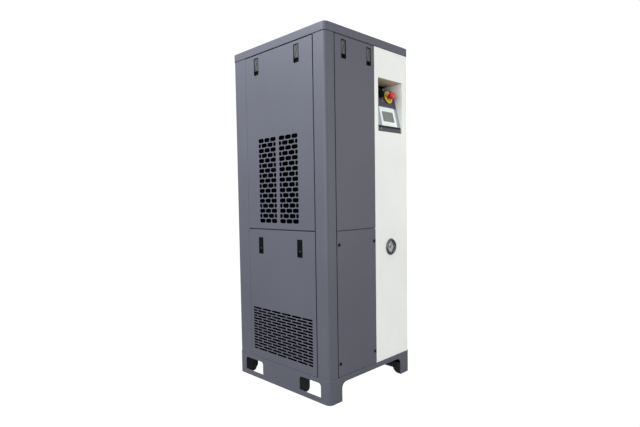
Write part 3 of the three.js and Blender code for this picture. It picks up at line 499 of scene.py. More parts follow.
def cast(name, colour):
    """Sand-cast metal under thin paint, with a coarse skin."""
    return surface(name, colour, (14, 5), (0.75, 1.15), (190, 6), (0.55, 0.8), (0.6, 0.5 * MM),
                   Metallic=0.35).material


def rubbery(name, colour, sheen=0.5):
    """Rubber or foam with short fibres that show in colour, gloss and relief alike."""
    fibre = (420, 5, (1, 6, 1))
    return surface(name, colour, fibre, (0.8, 1.3), fibre, (0.68, 0.88), (0.5, 0.2 * MM),
                   Specular_IOR_Level=sheen).material


def screen_glass(name, colour):
    """Dark display under glass, faintly clouded, with smears in the gloss."""
    return surface(name, colour, (9, 2), (0.85, 1.12), (60, 5, (1, 1, 0.4)), (0.1, 0.22),
                   Coat_Weight=0.6, Coat_Roughness=0.05).material


def clear_glass(name):
    """Window glass with a faint smeared tint."""
    shader = Shader(name)
    smear = shader.spread(shader.noise(90, 4), 0, 1)
    shader.set(
        Base_Color=shader.blend(smear, (0.96, 0.98, 0.98, 1), (1, 1, 1, 1)),
        Transmission_Weight=1.0,
        IOR=1.45,
        Roughness=0.02,
    )
    return shader.material


DARK = powder_coat("dark_paint", (80, 81, 91), 0.46, sheen=0.35)
# Near-black on return flanges and bent-in base flaps: painted shade, so the seams and flaps read dark.
SEAM_PAINTED_SHADE = powder_coat("seam_painted_shade", (30, 31, 35), 0.6)
WHITE = powder_coat("white_paint", (226, 228, 223), 0.42)
# Warm darker white for the tray's ceiling: painted shade, with a brownish bounce tint.
TRAY_SHADE = powder_coat("tray_ceiling_painted_shade", (214, 198, 172), 0.6)
# Black foam of the filter mats, also used as painted shade for the dark gap at the console tray's back.
FOAM_AND_PAINTED_SHADE = rubbery("filter_foam_and_painted_shade", (4, 4, 5), sheen=0)
PLATE_PAINT = powder_coat("plate_paint", (60, 61, 71), 0.45)
LATCH_CUP = moulded("latch_cup_plastic", (18, 19, 21), 0.55, sheen=0.15)
LATCH_PAINT = glossy("latch_enamel", (58, 61, 60), 0.4)
LOCK = metal("lock_insert", (96, 98, 100), 0.4)
ZINC = metal("zinc", (178, 180, 184), 0.32)
BLACK = moulded("black_plastic", (20, 20, 23), 0.45)
JET = moulded("jet_black_plastic", (7, 7, 8), 0.5, sheen=0.12)
GASKET = moulded("panel_gasket", (8, 8, 9), 0.7)
BEZEL = glossy("bezel_plastic", (226, 236, 229), 0.4)
BEZEL_SIDE = glossy("bezel_frame_plastic", (150, 158, 166), 0.4)
SCREEN = screen_glass("display", (104, 111, 108))
YELLOW = glossy("safety_yellow", (240, 224, 58), 0.35)
# Darker copy of the safety yellow for the collar's dish: painted shade below the lit rim.
COLLAR_DISH_SHADE = glossy("collar_dish_painted_shade", (206, 166, 30), 0.4)
RED = glossy("safety_red", (186, 22, 38), 0.3)
CHROME = metal("chrome", (92, 94, 98), 0.16, depth=0.01 * MM)
DIAL = moulded("dial_enamel", (238, 236, 238), 0.55)
DIAL_MARK = moulded("dial_print", (26, 27, 30), 0.6)
GLASS = clear_glass("gauge_glass")
STEEL = metal("steel", (150, 153, 157), 0.38)
IRON = cast("cast_iron", (74, 77, 82))
MOTOR_PAINT = cast("motor_paint", (96, 104, 110))
TANK_PAINT = powder_coat("tank_paint", (38, 40, 44), 0.5)
ALUMINIUM = metal("aluminium", (172, 176, 180), 0.42, (1, 9, 1))
FILTER = powder_coat("filter_paint", (206, 208, 210), 0.4)
BOX_PAINT = powder_coat("box_paint", (182, 185, 186), 0.5)
RUBBER = rubbery("belt_rubber", (22, 22, 24))


def repaint(shown, hidden):
    """Puts the second material on the faces whose centres are `hidden`."""
    for part in shown.data.polygons:
        part.material_index = int(hidden(part.center))


# -------- covers


def oval_holes(centre):
    """Two blocks of oval holes, rows of three between rows of two with a short one at each end."""
    holes = []
    pitch, height = OVAL["pitch_u"], OVAL["h"]
    edge = pitch + OVAL["w"] / 2
    short = edge - (1.5 * pitch - OVAL["w"] / 2)
    for block in (-1, 1):
        middle = centre + block * OVAL["half"]
        for row in range(OVAL_ROWS):
            v = OVAL["low"] + row * OVAL["pitch_v"]
            for k in (-0.5, 0.5) if row % 2 else (-1, 0, 1):
                place = (middle + k * pitch, v)
                holes.append(rounded_rect(place, (OVAL["w"], height), height * OVAL_ROUND))
            for side in (-1, 1) if row % 2 else ():
                place = (middle + side * (edge - short / 2), v)
                holes.append(rounded_rect(place, (short, height), short * SLOT_ROUND))
    return holes


def slot_holes(centre):
    """Brick pattern of round-ended slots."""
    holes = []
    low, high = centre - SLOT["half"], centre + SLOT["half"]
    height = SLOT["h"]
    least = height * 1.2  # shorter slots are left out
    for row in range(SLOT_ROWS):
        v = SLOT["low"] + row * SLOT["pitch_v"]
        start = low - (row % 2 == 0) * SLOT["pitch_u"] / 2
        while start < high - least:
            u0, u1 = max(start, low), min(start + SLOT["w"], high)
            if u1 - u0 > least:
                place = ((u0 + u1) / 2, v)
                holes.append(rounded_rect(place, (u1 - u0, height), height * SLOT_ROUND))
            start += SLOT["pitch_u"]
    return holes


def latch_centre(face, lever):
    """Middle of a latch's opening: its lever hangs from just below the opening's top."""
    top = local_box(face, lever)[1].y
    return Vector((flat_box(face, lever)[0].x, top + LATCH["above"] - LATCH["h"] / 2))


def cover(name, node, side, holes=(), levers=()):
    """A lift-off cover: a pierced flat with rolled edges and return flanges."""
    face = FACE[side]
    wall, bend = PANEL["sheet"], PANEL["bend"]
    outline = rounded_rect(*flat_box(face, node), PANEL["corner"])
    depth = local_box(face, node)[0].z
    rim = sheet_rim([(-bend, 0), (0, 0), (0, depth)], [0, bend, 0], wall)
    room = 2 * (wall + EDGE)
    size = (LATCH["w"] + room, LATCH["h"] + room)
    openings = [rounded_rect(latch_centre(face, lever), size, LATCH["corner"] + wall) for lever in levers]
    made = Build(face)
    made.pierced(outline, rim, [*holes, *openings], wall)
    back = face.inverted()
    shown = made.stand_in(node, name, [DARK, SEAM_PAINTED_SHADE])
    # Return flanges behind the rolled edge take the near-black painted shade.
    repaint(shown, lambda centre: (back @ centre).z < -bend)
    for lever in levers:
        latch_cup(lever.replace("latch", "latch_cup"), node, face, latch_centre(face, lever))
    if levers and holes:
        filter_mat(name + "_mat", node, face, holes)


def filter_mat(name, node, face, holes):
    """Dark foam mat fixed behind a cover's grille."""
    points = [point for hole in holes for point, _ in hole]
    low = Vector([min(point[i] for point in points) - MAT["margin"] for i in range(2)])
    high = Vector([max(point[i] for point in points) + MAT["margin"] for i in range(2)])
    made = Build(face)
    front = -MAT["front"]
    made.slab(rounded_rect((low + high) / 2, high - low, 6 * MM), front - MAT["thick"], front, 1.5 * MM)
    made.piece(name, node, FOAM_AND_PAINTED_SHADE)


def latch_cup(name, node, face, centre):
    """Deep-drawn latch housing with a thin flange over the cover."""
    wall = PANEL["sheet"]
    track = rounded_rect(centre, (LATCH["w"], LATCH["h"]), LATCH["corner"])
    back, lip, seat = -LATCH["cup"], 0.35 * MM, 0.05 * MM
    flange, start = 1.9 * MM, -2 * MM
    profile = [
        (start, back + wall), (0, back + wall), (0, lip), (flange, lip), (flange, seat), (wall, seat),
        (wall, back), (start, back),
    ]
    made = Build(face)
    made.loft(track, softened(profile, 0.3 * MM))
    made.piece(name, node, LATCH_CUP)


def latch_lever(node, side):
    """Paddle with a pivot barrel, a crowned front, a finger lip and a round lock insert."""
    face = FACE[side]
    low, high = local_box(face, node)
    u = (low.x + high.x) / 2
    width = high.x - low.x
    barrel, thick, start = 3.2 * MM, 4.5 * MM, -4 * MM
    front = high.z
    pivot = Vector((high.y - barrel, front - barrel))
    back = front - thick
    made = Build(face)
    paddle_high = pivot.x + barrel * 0.4
    track = rounded_rect((u, (low.y + paddle_high) / 2), (width, paddle_high - low.y), 2 * MM)
    crown = [(start, back), (0, back), (0, front - 1 * MM), (-1.5 * MM, front), (start, front)]
    made.loft(track, softened(crown, 0.8 * MM))
    lip = 3 * MM
    foot = rounded_rect((u, low.y + lip / 2), (width - 1 * MM, lip), 1 * MM)
    made.slab(foot, low.z, back - 0.02 * MM, 0.4 * MM)
    made.at = basis(face @ Vector((u - width / 2, *pivot)), face.col[1].xyz, face.col[2].xyz)
    made.turned(softened(rod(barrel, 0, width), 0.4 * MM), steps=24)
    # Lower paddles are black: painted shade of the same latch, which sits lower and darker.
    made.stand_in(node, node + "_paddle", JET if "lower" in node else LATCH_PAINT)
    insert, rim, key = 4 * MM, 0.5 * MM, 0.2 * MM
    lock = Build(face @ Matrix.Translation((u, low.y + insert + 3.5 * MM, front)))
    profile = [
        (0, -1 * MM), (insert, -1 * MM), (insert, rim), (insert * 0.55, rim + key), (insert * 0.5, key),
        (0, key),
    ]
    lock.turned(softened(profile, 0.2 * MM), steps=32)
    lock.piece(node + "_lock", node, LOCK)


SIDE_LEVERS = {
    place: [f"{place}_latch_{end}" for end in ("rear", "front")]
    for place in ("left_upper", "left_lower", "right_upper", "right_lower")
}
DOOR_LEVERS = ["door_latch_left", "door_latch_right"]
SCREWS = [f"front_panel_screw_{i}" for i in (1, 2, 3, 4)]


def build_covers():
    grilles = {
        "left_upper": oval_holes(OVAL["shift"]),
        "left_lower": slot_holes(SLOT["shift"]),
        "right_lower": slot_holes(-SLOT["shift"]),
    }
    for place, levers in SIDE_LEVERS.items():
        cover(f"{place}_cover", f"{place}_panel", place.split("_")[0], grilles.get(place, ()), levers)
    cover("front_door_cover", "front_door", "front", (), DOOR_LEVERS)
    front, rear = FACE["front"], FACE["rear"]
    holes = [hole_round(flat_box(front, screw)[0], HOLE["screw"], steps=16) for screw in SCREWS]
    cover("front_lower_cover", "front_lower_panel", "front", holes)
    fittings = ("air_outlet", "cable_gland")
    holes = [hole_round(flat_box(rear, fitting)[0], HOLE[fitting]) for fitting in fittings]
    cover("rear_cover", "rear_panel", "rear", holes)
    for place, levers in SIDE_LEVERS.items():
        for lever in levers:
            latch_lever(lever, place.split("_")[0])
    for lever in DOOR_LEVERS:
        latch_lever(lever, "front")


# -------- posts and light front panel


def post(name, node, mirror_axes):
    """Bent corner post, built at the front left and mirrored into place."""
    low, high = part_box("front_left_post")
    side_edge = -min(abs(corner.y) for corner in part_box(node))
    bend = POST["bend"]
    corners = [
        (low.x + LIP, side_edge), (low.x, side_edge), (low.x, low.y), (high.x, low.y),
        (high.x, low.y + LIP),
    ]
    radii = [0, bend, SKIN_CORNER, bend, 0]
    made = Build()
    made.bent_wall(corners, radii, POST["sheet"], low.z, high.z)
    for axis in mirror_axes:
        made.mirrored(axis)
    shown = made.stand_in(node, name, [DARK, SEAM_PAINTED_SHADE])
    # The post's return flanges take the near-black painted shade.
    inner, flat_end = SKIN - bend, SKIN - SKIN_CORNER

    def hidden(centre):
        across = sorted(map(abs, centre.xy))
        return across[0] < flat_end and across[1] < inner

    repaint(shown, hidden)


def console_opening():
    """Middle and size of the console's opening, inside the tray's walls."""
    middle, size = flat_box(FACE["front"], "console_tray")
    return middle, size - Vector((2 * TRAY_WALL, 2 * TRAY_WALL))


def light_panel():
    """Light panel round the front right corner, with the console window and the gauge hole."""
    node = "front_white_panel"
    low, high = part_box(node)
    bend = PANEL["bend"]
    corners = [
        (low.x, low.y + LIP), (low.x, low.y), (high.x, low.y), (high.x, high.y), (high.x - LIP, high.y),
    ]
    start = Vector((low.x + bend, 0))
    middle, size = console_opening()
    window = rounded_rect(middle - start, size, 1.2 * MM)
    gauge = flat_box(FACE["front"], "gauge_case")[0] - start
    length = high.x - SKIN_CORNER - start.x
    outline = [(0, low.z), (length, low.z), (length, high.z), (0, high.z)]
    flats = {1: (outline, [window, hole_round(gauge, HOLE["gauge"], TURN_STEPS)])}
    made = Build()
    made.bent_wall(corners, [0, bend, SKIN_CORNER, bend, 0], PANEL["sheet"], low.z, high.z, flats)
    made.stand_in(node, "front_light_panel", WHITE)


# -------- base and roof


def leg_outline(length, top, reverse):
    """Outline of a leg's face with the arch beside it, in distance along the flat and height."""
    arch = LEG["arch"]
    inner = LEG["inner"] - BASE_CORNER
    middle = Vector((inner + arch, LEG["rail"] - arch))
    points = [(0, 0), (inner, 0)]
    steps = 8
    for k in range(steps + 1):
        points.append(tuple(middle + arch * heading_at(math.pi - k / steps * math.pi / 2)))
    points += [(length, LEG["rail"]), (length, top), (0, top)]
    return [(length - s, z) for s, z in reversed(points)] if reverse else points


def pocket_holes(middle):
    """Tracks round the two fork pockets of a side: square below, rounded above."""
    level = (POCKET["low"] + POCKET["high"]) / 2
    size = (POCKET["w"], POCKET["high"] - POCKET["low"])
    radii = [POCKET["foot"], POCKET["corner"], POCKET["corner"], POCKET["foot"]]
    return [rounded_rect((middle + way * POCKET["pitch"] / 2, level), size, radii) for way in (-1, 1)]


def skirt(name, node, mirror):
    """Side of the base: bent plate with two legs, fork pockets, bent-in flaps in near-black painted shade and a
    foot flange.
    """
    low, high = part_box("base_left_skirt")
    corners = [(high.x, high.y), (low.x, high.y), (low.x, low.y), (high.x, low.y)]
    leg = high.x - low.x - BASE_CORNER
    side = high.y - low.y - 2 * BASE_CORNER
    top = high.z
    sheet = BASE["sheet"]
    whole = [(0, 0), (side, 0), (side, top), (0, top)]
    flats = {
        0: (leg_outline(leg, top, reverse=True), []),
        1: (whole, pocket_holes(side / 2)),
        2: (leg_outline(leg, top, reverse=False), []),
    }
    made = Build()
    made.bent_wall(corners, [0, BASE_CORNER, BASE_CORNER, 0], sheet, 0, top, flats)
    made.ease_top(top, BASE["edge"])
    flaps = Build()
    for way in (-1, 1):
        for edge in (-1, 1):
            side_y = way * POCKET["pitch"] / 2 + edge * POCKET["w"] / 2
            flap(flaps, (low.x + sheet, side_y + max(edge, 0) * sheet), (1, 0), POCKET_FLAP)
    leg_x = low.x + LEG["inner"]
    flap(flaps, (leg_x - sheet, low.y + sheet), (0, 1), LEG_FLAP)
    flap(flaps, (leg_x, high.y - sheet), (0, -1), LEG_FLAP)
    foot_size = (BASE["foot"] - sheet, 2 * (high.y - BASE_CORNER - 10 * MM))
    foot = rounded_rect((low.x + (sheet + BASE["foot"]) / 2, 0), foot_size, 1 * MM)
    made.slab(foot, 0, sheet, 0.5 * MM)
    if mirror:
        made.mirrored(0)
        flaps.mirrored(0)
    made.stand_in(node, name, DARK)
    # The flaps are near-black painted shade.
    flaps.piece(name + "_flaps", node, SEAM_PAINTED_SHADE)


def flap(made, place, inward, shape):
    """Flap bent in from the skirt's wall at a place on the plan, with its free lower corner rounded."""
    sheet = BASE["sheet"]
    reach = shape["reach"] - sheet
    corners = [(0, shape["high"]), (0, shape["low"]), (reach, shape["low"]), (reach, shape["high"])]
    path = bent(corners, [0, 0, shape["corner"], 0], side=-1, steps=8)
    track = [(point, normal) for point, normal, _ in path]
    kept = made.at
    made.at = basis((*place, 0), (*inward, 0), UP)
    made.slab(track, 0, sheet, 0.4 * MM)
    made.at = kept


def roof():
    """Roof tray: rounded corners, rolled top edge, inward lip below and exhaust slots over the fan."""
    node = "roof_cap"
    low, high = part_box(node)
    sheet, bend = ROOF["sheet"], ROOF["bend"]
    outline = rounded_rect((0, 0), (high.x - low.x, high.y - low.y), BASE_CORNER, CORNER_STEPS)
    fall = low.z - high.z
    lip = ROOF["lip"]
    rim = sheet_rim([(-bend, 0), (0, 0), (0, fall), (-lip, fall)], [0, bend, bend, 0], sheet)
    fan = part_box("fan_rotor")
    fan_y = (fan[0].y + fan[1].y) / 2
    slots = []
    size = (ROOF_SLOT["w"], ROOF_SLOT["h"])
    for row in range(ROOF_ROWS):
        y = fan_y + (row - (ROOF_ROWS - 1) / 2) * ROOF_SLOT["pitch"]
        slots += [rounded_rect((side * ROOF_SLOT["x"], y), size, size[1] * ROOF_ROUND) for side in (-1, 1)]
    made = Build(Matrix.Translation((0, 0, high.z)))
    made.pierced(outline, rim, slots, sheet)
    made.stand_in(node, "roof_cover", DARK)


# -------- console


def plate_frame():
    """Frame of the sloping control plate: u across, v up along it, w out of it; v = 0 at its lower edge."""
    low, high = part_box("control_plate")
    level = basis(Vector((0, 0, 0)), (1, 0, 0), PLATE_UP)
    near, far = local_box(level, "control_plate")
    return level @ Matrix.Translation(((low.x + high.x) / 2, near.y, far.z))


PLATE = plate_frame()
PLATE_SCREWS = {
    "low": (-67.5 * MM, 14 * MM), "middle": (-9.5 * MM, 163 * MM),
    "high_left": (-92 * MM, 220 * MM), "high_right": (92 * MM, 220 * MM),
}


def control_plate():
    """Sloping plate with the operator panel's window and two round holes, held by four small screws."""
    node = "control_plate"
    low, high = local_box(PLATE, node)
    sheet = high.z - low.z
    middle, size = flat_box(PLATE, "hmi_bezel")
    margin = 10 * MM
    holes = [rounded_rect(middle, size - Vector((margin, margin)), 2 * MM)]
    for button in ("estop_collar", "selector_base"):
        holes.append(hole_round(flat_box(PLATE, button)[0], HOLE["button"]))
    edge = 0.9 * MM
    rim = softened([(-edge, 0), (0, 0), (0, -sheet), (-edge, -sheet)], 0.5 * MM)
    made = Build(PLATE)
    made.pierced(rounded_rect(*flat_box(PLATE, node), 1 * MM), rim, holes, sheet)
    made.stand_in(node, "control_plate_face", PLATE_PAINT)
    for name, (u, v) in PLATE_SCREWS.items():
        small_screw(f"plate_screw_{name}", u, v)


def small_screw(name, u, v):
    """Pan-head screw of the control plate."""
    made = Build(PLATE @ Matrix.Translation((u, v, 0)))
    head = 3.6 * MM
    seat, top = 0.02 * MM, 2 * MM
    profile = [(0, seat), (head, seat), (head, 1.2 * MM), (head * 0.6, top), (0, top)]
    made.turned(softened(profile, 0.5 * MM), steps=24)
    made.piece(name, "control_plate", ZINC)


def operator_panel():
    """Operator panel: light bezel with a chamfered window, the body behind it, and the screen."""
    node = "hmi_bezel"
    low, high = local_box(PLATE, node)
    screen_low, screen_high = local_box(PLATE, "hmi_screen")
    centre, size = flat_box(PLATE, node)
    screen = flat_box(PLATE, "hmi_screen")[1]
    play, inset = 0.8 * MM, 11 * MM
    front, pocket, foot = high.z, screen_low.z - 0.3 * MM, 1.6 * MM
    made = Build(PLATE)
    outer = rounded_rect(centre, size, 5 * MM)
    inner = rounded_rect(centre, screen + Vector((play, play)), 1.2 * MM)
    rise = [(-2 * MM, foot), (0, foot), (0, front - 1.2 * MM), (-1.6 * MM, front)]
    slope = [(2.2 * MM, front), (0, front - 1.4 * MM), (0, pocket)]
    outside = [made.ring(outer, offset, w) for offset, w in softened(rise, 0.5 * MM)]
    well = [made.ring(inner, offset, w) for offset, w in slope]
    made.strip(outside)
    made.strip(well)
    made.fill(outside[-1], [well[0]])
    made.face(well[-1])
    made.face(outside[0])
    made.slab(rounded_rect(centre, size - Vector((inset, inset)), 2 * MM), low.z, 0.2 * MM, 0.6 * MM)
    made.stand_in(node, "operator_panel_bezel", BEZEL)
    panel_surround(node, centre.y, size.y)
    glass = Build(PLATE)
    glass.slab(rounded_rect(centre, screen, play), pocket + 0.3 * MM, screen_high.z, 0.2 * MM)
    glass.stand_in("hmi_screen", "operator_panel_screen", SCREEN)


def panel_surround(node, v, height):
    """Grey frame plate that the operator panel sits in, and the black gasket below it."""
    middle, size = flat_box(PLATE, "control_plate")
    width, strip = size.x - 2 * MM, 6 * MM
    made = Build(PLATE)
    made.slab(rounded_rect((middle.x, v), (width, height), 2 * MM), 0.3 * MM, 1.5 * MM, 0.4 * MM)
    made.piece("operator_panel_frame", node, BEZEL_SIDE)
    made = Build(PLATE)
    under = (middle.x, v - (height + strip) / 2)
    made.slab(rounded_rect(under, (width, strip), 1 * MM), 0.2 * MM, 4 * MM, 0.6 * MM)
    made.piece("operator_panel_gasket", node, GASKET)


def emergency_stop():
    """Yellow dished collar, black plunger and red mushroom head."""
    at = axis_frame("estop_twist", PLATE_UP)
    low, high = local_box(at, "estop_collar")
    radius = high.x
    lift = local_box(PLATE, "estop_collar")[1].z - high.z  # joint place to plate surface
    face = 0.3 * MM - lift
    bore, neck, dish = 6 * MM, 11 * MM, 28 * MM
    rim, floor_w, boss = face + 8.5 * MM, face + 3.2 * MM, face + 6.2 * MM
    profile = [
        (bore, low.z), (neck, low.z), (neck, face), (24 * MM, face), (radius, face + 5 * MM),
        (radius, rim), (dish, rim), (21 * MM, floor_w), (12.5 * MM, floor_w), (12 * MM, boss),
        (bore, boss), (bore, low.z),
    ]
    made = Build(at)
    made.turned(softened(profile, 0.9 * MM))
    collar = made.stand_in("estop_collar", "stop_button_collar", [YELLOW, COLLAR_DISH_SHADE])
    back = at.inverted()
    # The dish inside the rim takes the darker painted shade.
    repaint(collar, lambda centre: (back @ centre).xy.length < dish)

    low, high = local_box(at, "estop_plunger")
    stem = high.x
    made = Build(at)
    made.turned(softened(rod(stem, low.z, high.z), 0.5 * MM), steps=32)
    made.stand_in("estop_plunger", "stop_button_plunger", BLACK)

    low, high = local_box(at, "estop_head")
    top, base = high.z, low.z
    head = high.x
    socket = stem + 0.3 * MM
    roof_z = top - 8.3 * MM
    profile = [
        (0, roof_z), (socket, roof_z), (socket, base), (15 * MM, base), (16 * MM, base + 9 * MM),
        (head - 1.2 * MM, base + 11 * MM), (head, base + 14 * MM), (head - 0.6 * MM, top - 7.5 * MM),
        (head - 4 * MM, top - 2.6 * MM), (head * 0.45, top - 0.5 * MM), (0, top),
    ]
    made = Build(at)
    made.turned(softened(profile, 3 * MM, steps=4), steps=64)
    made.stand_in("estop_head", "stop_button_head", RED)


def rotary_switch():
    """Black rotary switch: a stepped base ring and a knob with a raised grip bar."""
    at = axis_frame("selector_turn", PLATE_UP)
    low, high = local_box(at, "selector_base")
    radius, top = high.x, high.z
    bore, neck, seat, ease = 5.5 * MM, 11 * MM, top - 6.7 * MM, 3 * MM
    made = Build(at)
    profile = [
        (bore, low.z), (neck, low.z), (neck, seat), (radius, seat), (radius, top - ease),
        (radius - ease, top), (bore, top), (bore, low.z),
    ]
    made.turned(softened(profile, 0.6 * MM))
    made.stand_in("selector_base", "switch_base", JET)

    low, high = local_box(at, "selector_knob")
    shaft = 5 * MM
    knob = high.x
    skirt_low, skirt_high = top + 0.5 * MM, high.z - 7 * MM
    made = Build(at)
    profile = [
        (0, low.z), (shaft, low.z), (shaft, skirt_low), (knob, skirt_low), (knob - 2 * MM, skirt_high),
        (0, skirt_high),
    ]
    made.turned(softened(profile, 1.5 * MM))
    grip = rounded_rect((0, 0), (12 * MM, 2 * knob - 8 * MM), 5 * MM)
    rise = [
        (0.8 * MM, skirt_high - 0.5 * MM), (0, skirt_high + 3 * MM), (-0.5 * MM, high.z),
        (-4 * MM, high.z),
    ]
    made.loft(grip, softened(rise, 1.4 * MM))
    made.stand_in("selector_knob", "switch_knob", JET)
    mark = Build(at)
    line = rounded_rect((0, 11 * MM), (1.6 * MM, 8 * MM), 0.7 * MM)
    mark.slab(line, high.z - 0.3 * MM, high.z + 0.2 * MM, 0.1 * MM)
    mark.piece("switch_pointer_line", "selector_knob", DIAL)


def console_tray():
    """Open tray of the console, white inside, with painted shade on its ceiling and a black sheet of painted shade
    at its back.
    """
    node = "console_tray"
    face = FACE["front"]
    low, high = local_box(face, node)
    wall = TRAY_WALL
    middle, size = console_opening()
    back, front = low.z, high.z
    made = Build(face)
    profile = [
        (-wall, back + wall), (0, back + wall), (0, front), (wall, front), (wall, back), (-wall, back),
    ]
    made.loft(rounded_rect(middle, size, 1.2 * MM), softened(profile, 0.6 * MM))
    tray = made.stand_in(node, "console_tray_shell", [WHITE, TRAY_SHADE])
    # The ceiling's faces take the painted shade.
    ceiling = high.y - wall
    repaint(tray, lambda centre: abs(centre.z - ceiling) < 0.5 * MM)
    # Black sheet at the tray's back: painted shade for the dark gap seen above the control plate.
    back_shade = Build(face)
    track = rounded_rect(middle, size - Vector((EDGE, EDGE)), 1.2 * MM)
    back_shade.slab(track, back + wall + 0.1 * MM, back + wall + 3 * MM, 0.5 * MM)
    back_shade.piece("console_back_painted_shade", node, FOAM_AND_PAINTED_SHADE)


# -------- gauge


SCALE = {"divisions": 32, "major": 4, "numbered": 8, "sweep": math.radians(270)}
NEEDLE_REST = -0.7  # the needle's turn from upright at rest


def scale_way(k):
    """Direction of a scale division, from the lowest at lower left to the highest at lower right."""
    return heading_at(SCALE["sweep"] / 2 + math.pi / 2 - SCALE["sweep"] * k / SCALE["divisions"])


def gauge():
    """Panel gauge: chromed case and bezel, printed dial, pointer and window."""
    at = axis_frame("gauge_sweep", UP)
    low, high = local_box(at, "gauge_case")
    rim, front = high.x, high.z
    pipe, case, well = 7 * MM, 31 * MM, 28.5 * MM
    case_back, seat, step, floor_w = -32 * MM, 0.3 * MM, 4 * MM, -6 * MM
    made = Build(at)
    profile = [
        (0, low.z), (pipe, low.z), (pipe, case_back), (case, case_back), (case, seat), (rim, seat),
        (rim, 2.2 * MM), (37.5 * MM, 3.6 * MM), (36.5 * MM, front - 1 * MM), (34.5 * MM, front),
        (31.6 * MM, front - 1.6 * MM), (31.5 * MM, step), (well, step), (well, floor_w), (0, floor_w),
    ]
    made.turned(softened(profile, 0.9 * MM), steps=72)
    made.stand_in("gauge_case", "gauge_body", CHROME)

    low, high = local_box(at, "gauge_dial")
    dial_front = high.z
    made = Build(at)
    made.turned(rod(high.x, low.z, high.z), steps=64)
    made.stand_in("gauge_dial", "gauge_dial_disc", DIAL)

    scale_marks(at, dial_front)
    numerals(at, dial_front)

    low, high = local_box(at, "gauge_needle")
    spin = at @ Matrix.Rotation(NEEDLE_REST, 4, "Z")
    made = Build(spin)
    tip = local_box(spin, "gauge_needle")[1].y
    level = 0.1 * MM
    right_side = [(1.5, -9.6), (2.1, -9), (1, 8), (0.4, tip / MM)]
    outline = right_side + [(-x, y) for x, y in reversed(right_side)]
    lower = [made.point(x * MM, y * MM, level) for x, y in outline]
    upper = [made.point(x * MM * 0.85, y * MM, level + 0.7 * MM) for x, y in outline]
    made.bridge(lower, upper)
    made.face(lower)
    made.face(upper)
    made.turned(softened(rod(3.2 * MM, low.z, 1.5 * MM), 0.5 * MM), steps=24)
    made.stand_in("gauge_needle", "gauge_pointer", DIAL_MARK)

    low, high = local_box(at, "gauge_glass")
    made = Build(at)
    bevel = 0.4 * MM
    profile = [
        (0, low.z), (high.x, low.z), (high.x, high.z - bevel), (high.x - bevel, high.z), (0, high.z),
    ]
    made.turned(profile, steps=64)
    made.stand_in("gauge_glass", "gauge_window", GLASS)


def scale_marks(at, level):
    """Printed division lines, every fourth one longer and wider."""
    made = Build(at)
    for k in range(SCALE["divisions"] + 1):
        major = k % SCALE["major"] == 0
        outer, inner = 26 * MM, (21 if major else 23.5) * MM
        half = (0.45 if major else 0.22) * MM
        way = scale_way(k)
        across = Vector((-way.y, way.x))
        ends = ((inner, -half), (outer, -half), (outer, half), (inner, half))
        corners = [way * r + across * s for r, s in ends]
        top = [made.point(*c, level + 0.12 * MM) for c in corners]
        foot = [made.point(*c, level - 0.1 * MM) for c in corners]
        made.bridge(top, foot)
        made.face(top)
        made.face(foot)
    made.piece("gauge_scale", "gauge_dial", DIAL_MARK)


def numerals(at, level):
    """Scale numbers 0 to 16, as thin raised print."""
    for k in range(0, SCALE["divisions"] + 1, SCALE["numbered"]):
        number = k // 2
        name = f"gauge_number_{number}"
        curve = bpy.data.curves.new(name, "FONT")
        curve.body = str(number)
        curve.size = 6.5 * MM
        curve.extrude = 0.06 * MM
        curve.align_x = "CENTER"
        curve.align_y = "CENTER"
        text = bpy.data.objects.new(name, curve)
        place = scale_way(k) * 16.5 * MM
        text.matrix_world = at @ Matrix.Translation((*place, level + 0.05 * MM))
        mesh = bpy.data.meshes.new_from_object(text)
        mesh.transform(text.matrix_world)
        bpy.data.objects.remove(text)
        mesh.materials.clear()
        mesh.materials.append(DIAL_MARK)
        made = add_object(name, mesh)
        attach(made, BODY_OF["gauge_dial"])


# -------- screws of the front lower panel


def panel_screw(node):
    """Button-head screw with a hexagon socket."""
    low, high = local_box(FACE["front"], node)
    centre, size = flat_box(FACE["front"], node)
    made = Build(FACE["front"] @ Matrix.Translation((*centre, 0)))
    head = size.x / 2
    seat, top = 0.3 * MM, high.z
    shank = 2.5 * MM
    steps = 24
    profile = [
        (0, low.z), (shank, low.z), (shank, seat), (head, seat), (head, seat + 0.8 * MM),
        (head * 0.82, top - 0.5 * MM), (head * 0.55, top),
    ]
    rings = [made.ring(circle(steps), offset, w) for offset, w in softened(profile, 0.7 * MM)]
    made.strip(rings)
    flat = 2 * MM
    hexagon = []
    for point, normal in circle(steps):
        angle = math.atan2(normal.y, normal.x) % (math.pi / 3) - math.pi / 6
        hexagon.append((point + normal * flat / math.cos(angle), normal))
    well = [made.ring(hexagon, 0, w) for w in (top, top - 1.8 * MM)]
    made.strip([rings[-1], *well])
    made.face(well[-1])
    made.stand_in(node, node + "_button_head", JET)


# -------- CAD nodes that stay


def weld_group():
    """Node group that joins a CAD node's split triangles and drops its flat normals."""
    group = bpy.data.node_groups.new("weld", "GeometryNodeTree")
    for way in ("INPUT", "OUTPUT"):
        group.interface.new_socket("Geometry", in_out=way, socket_type="NodeSocketGeometry")
    start, end = group.nodes.new("NodeGroupInput"), group.nodes.new("NodeGroupOutput")
    weld = group.nodes.new("GeometryNodeMergeByDistance")
    weld.inputs["Distance"].default_value = 0.01 * MM
    bare = group.nodes.new("GeometryNodeRemoveAttribute")
    bare.inputs["Name"].default_value = "custom_normal"
    smooth = group.nodes.new("GeometryNodeSetShadeSmooth")
    chain = [start, weld, bare, smooth, end]
    for first, second in zip(chain, chain[1:]):
        group.links.new(first.outputs[0], second.inputs[0])
    return group


WELD = weld_group()


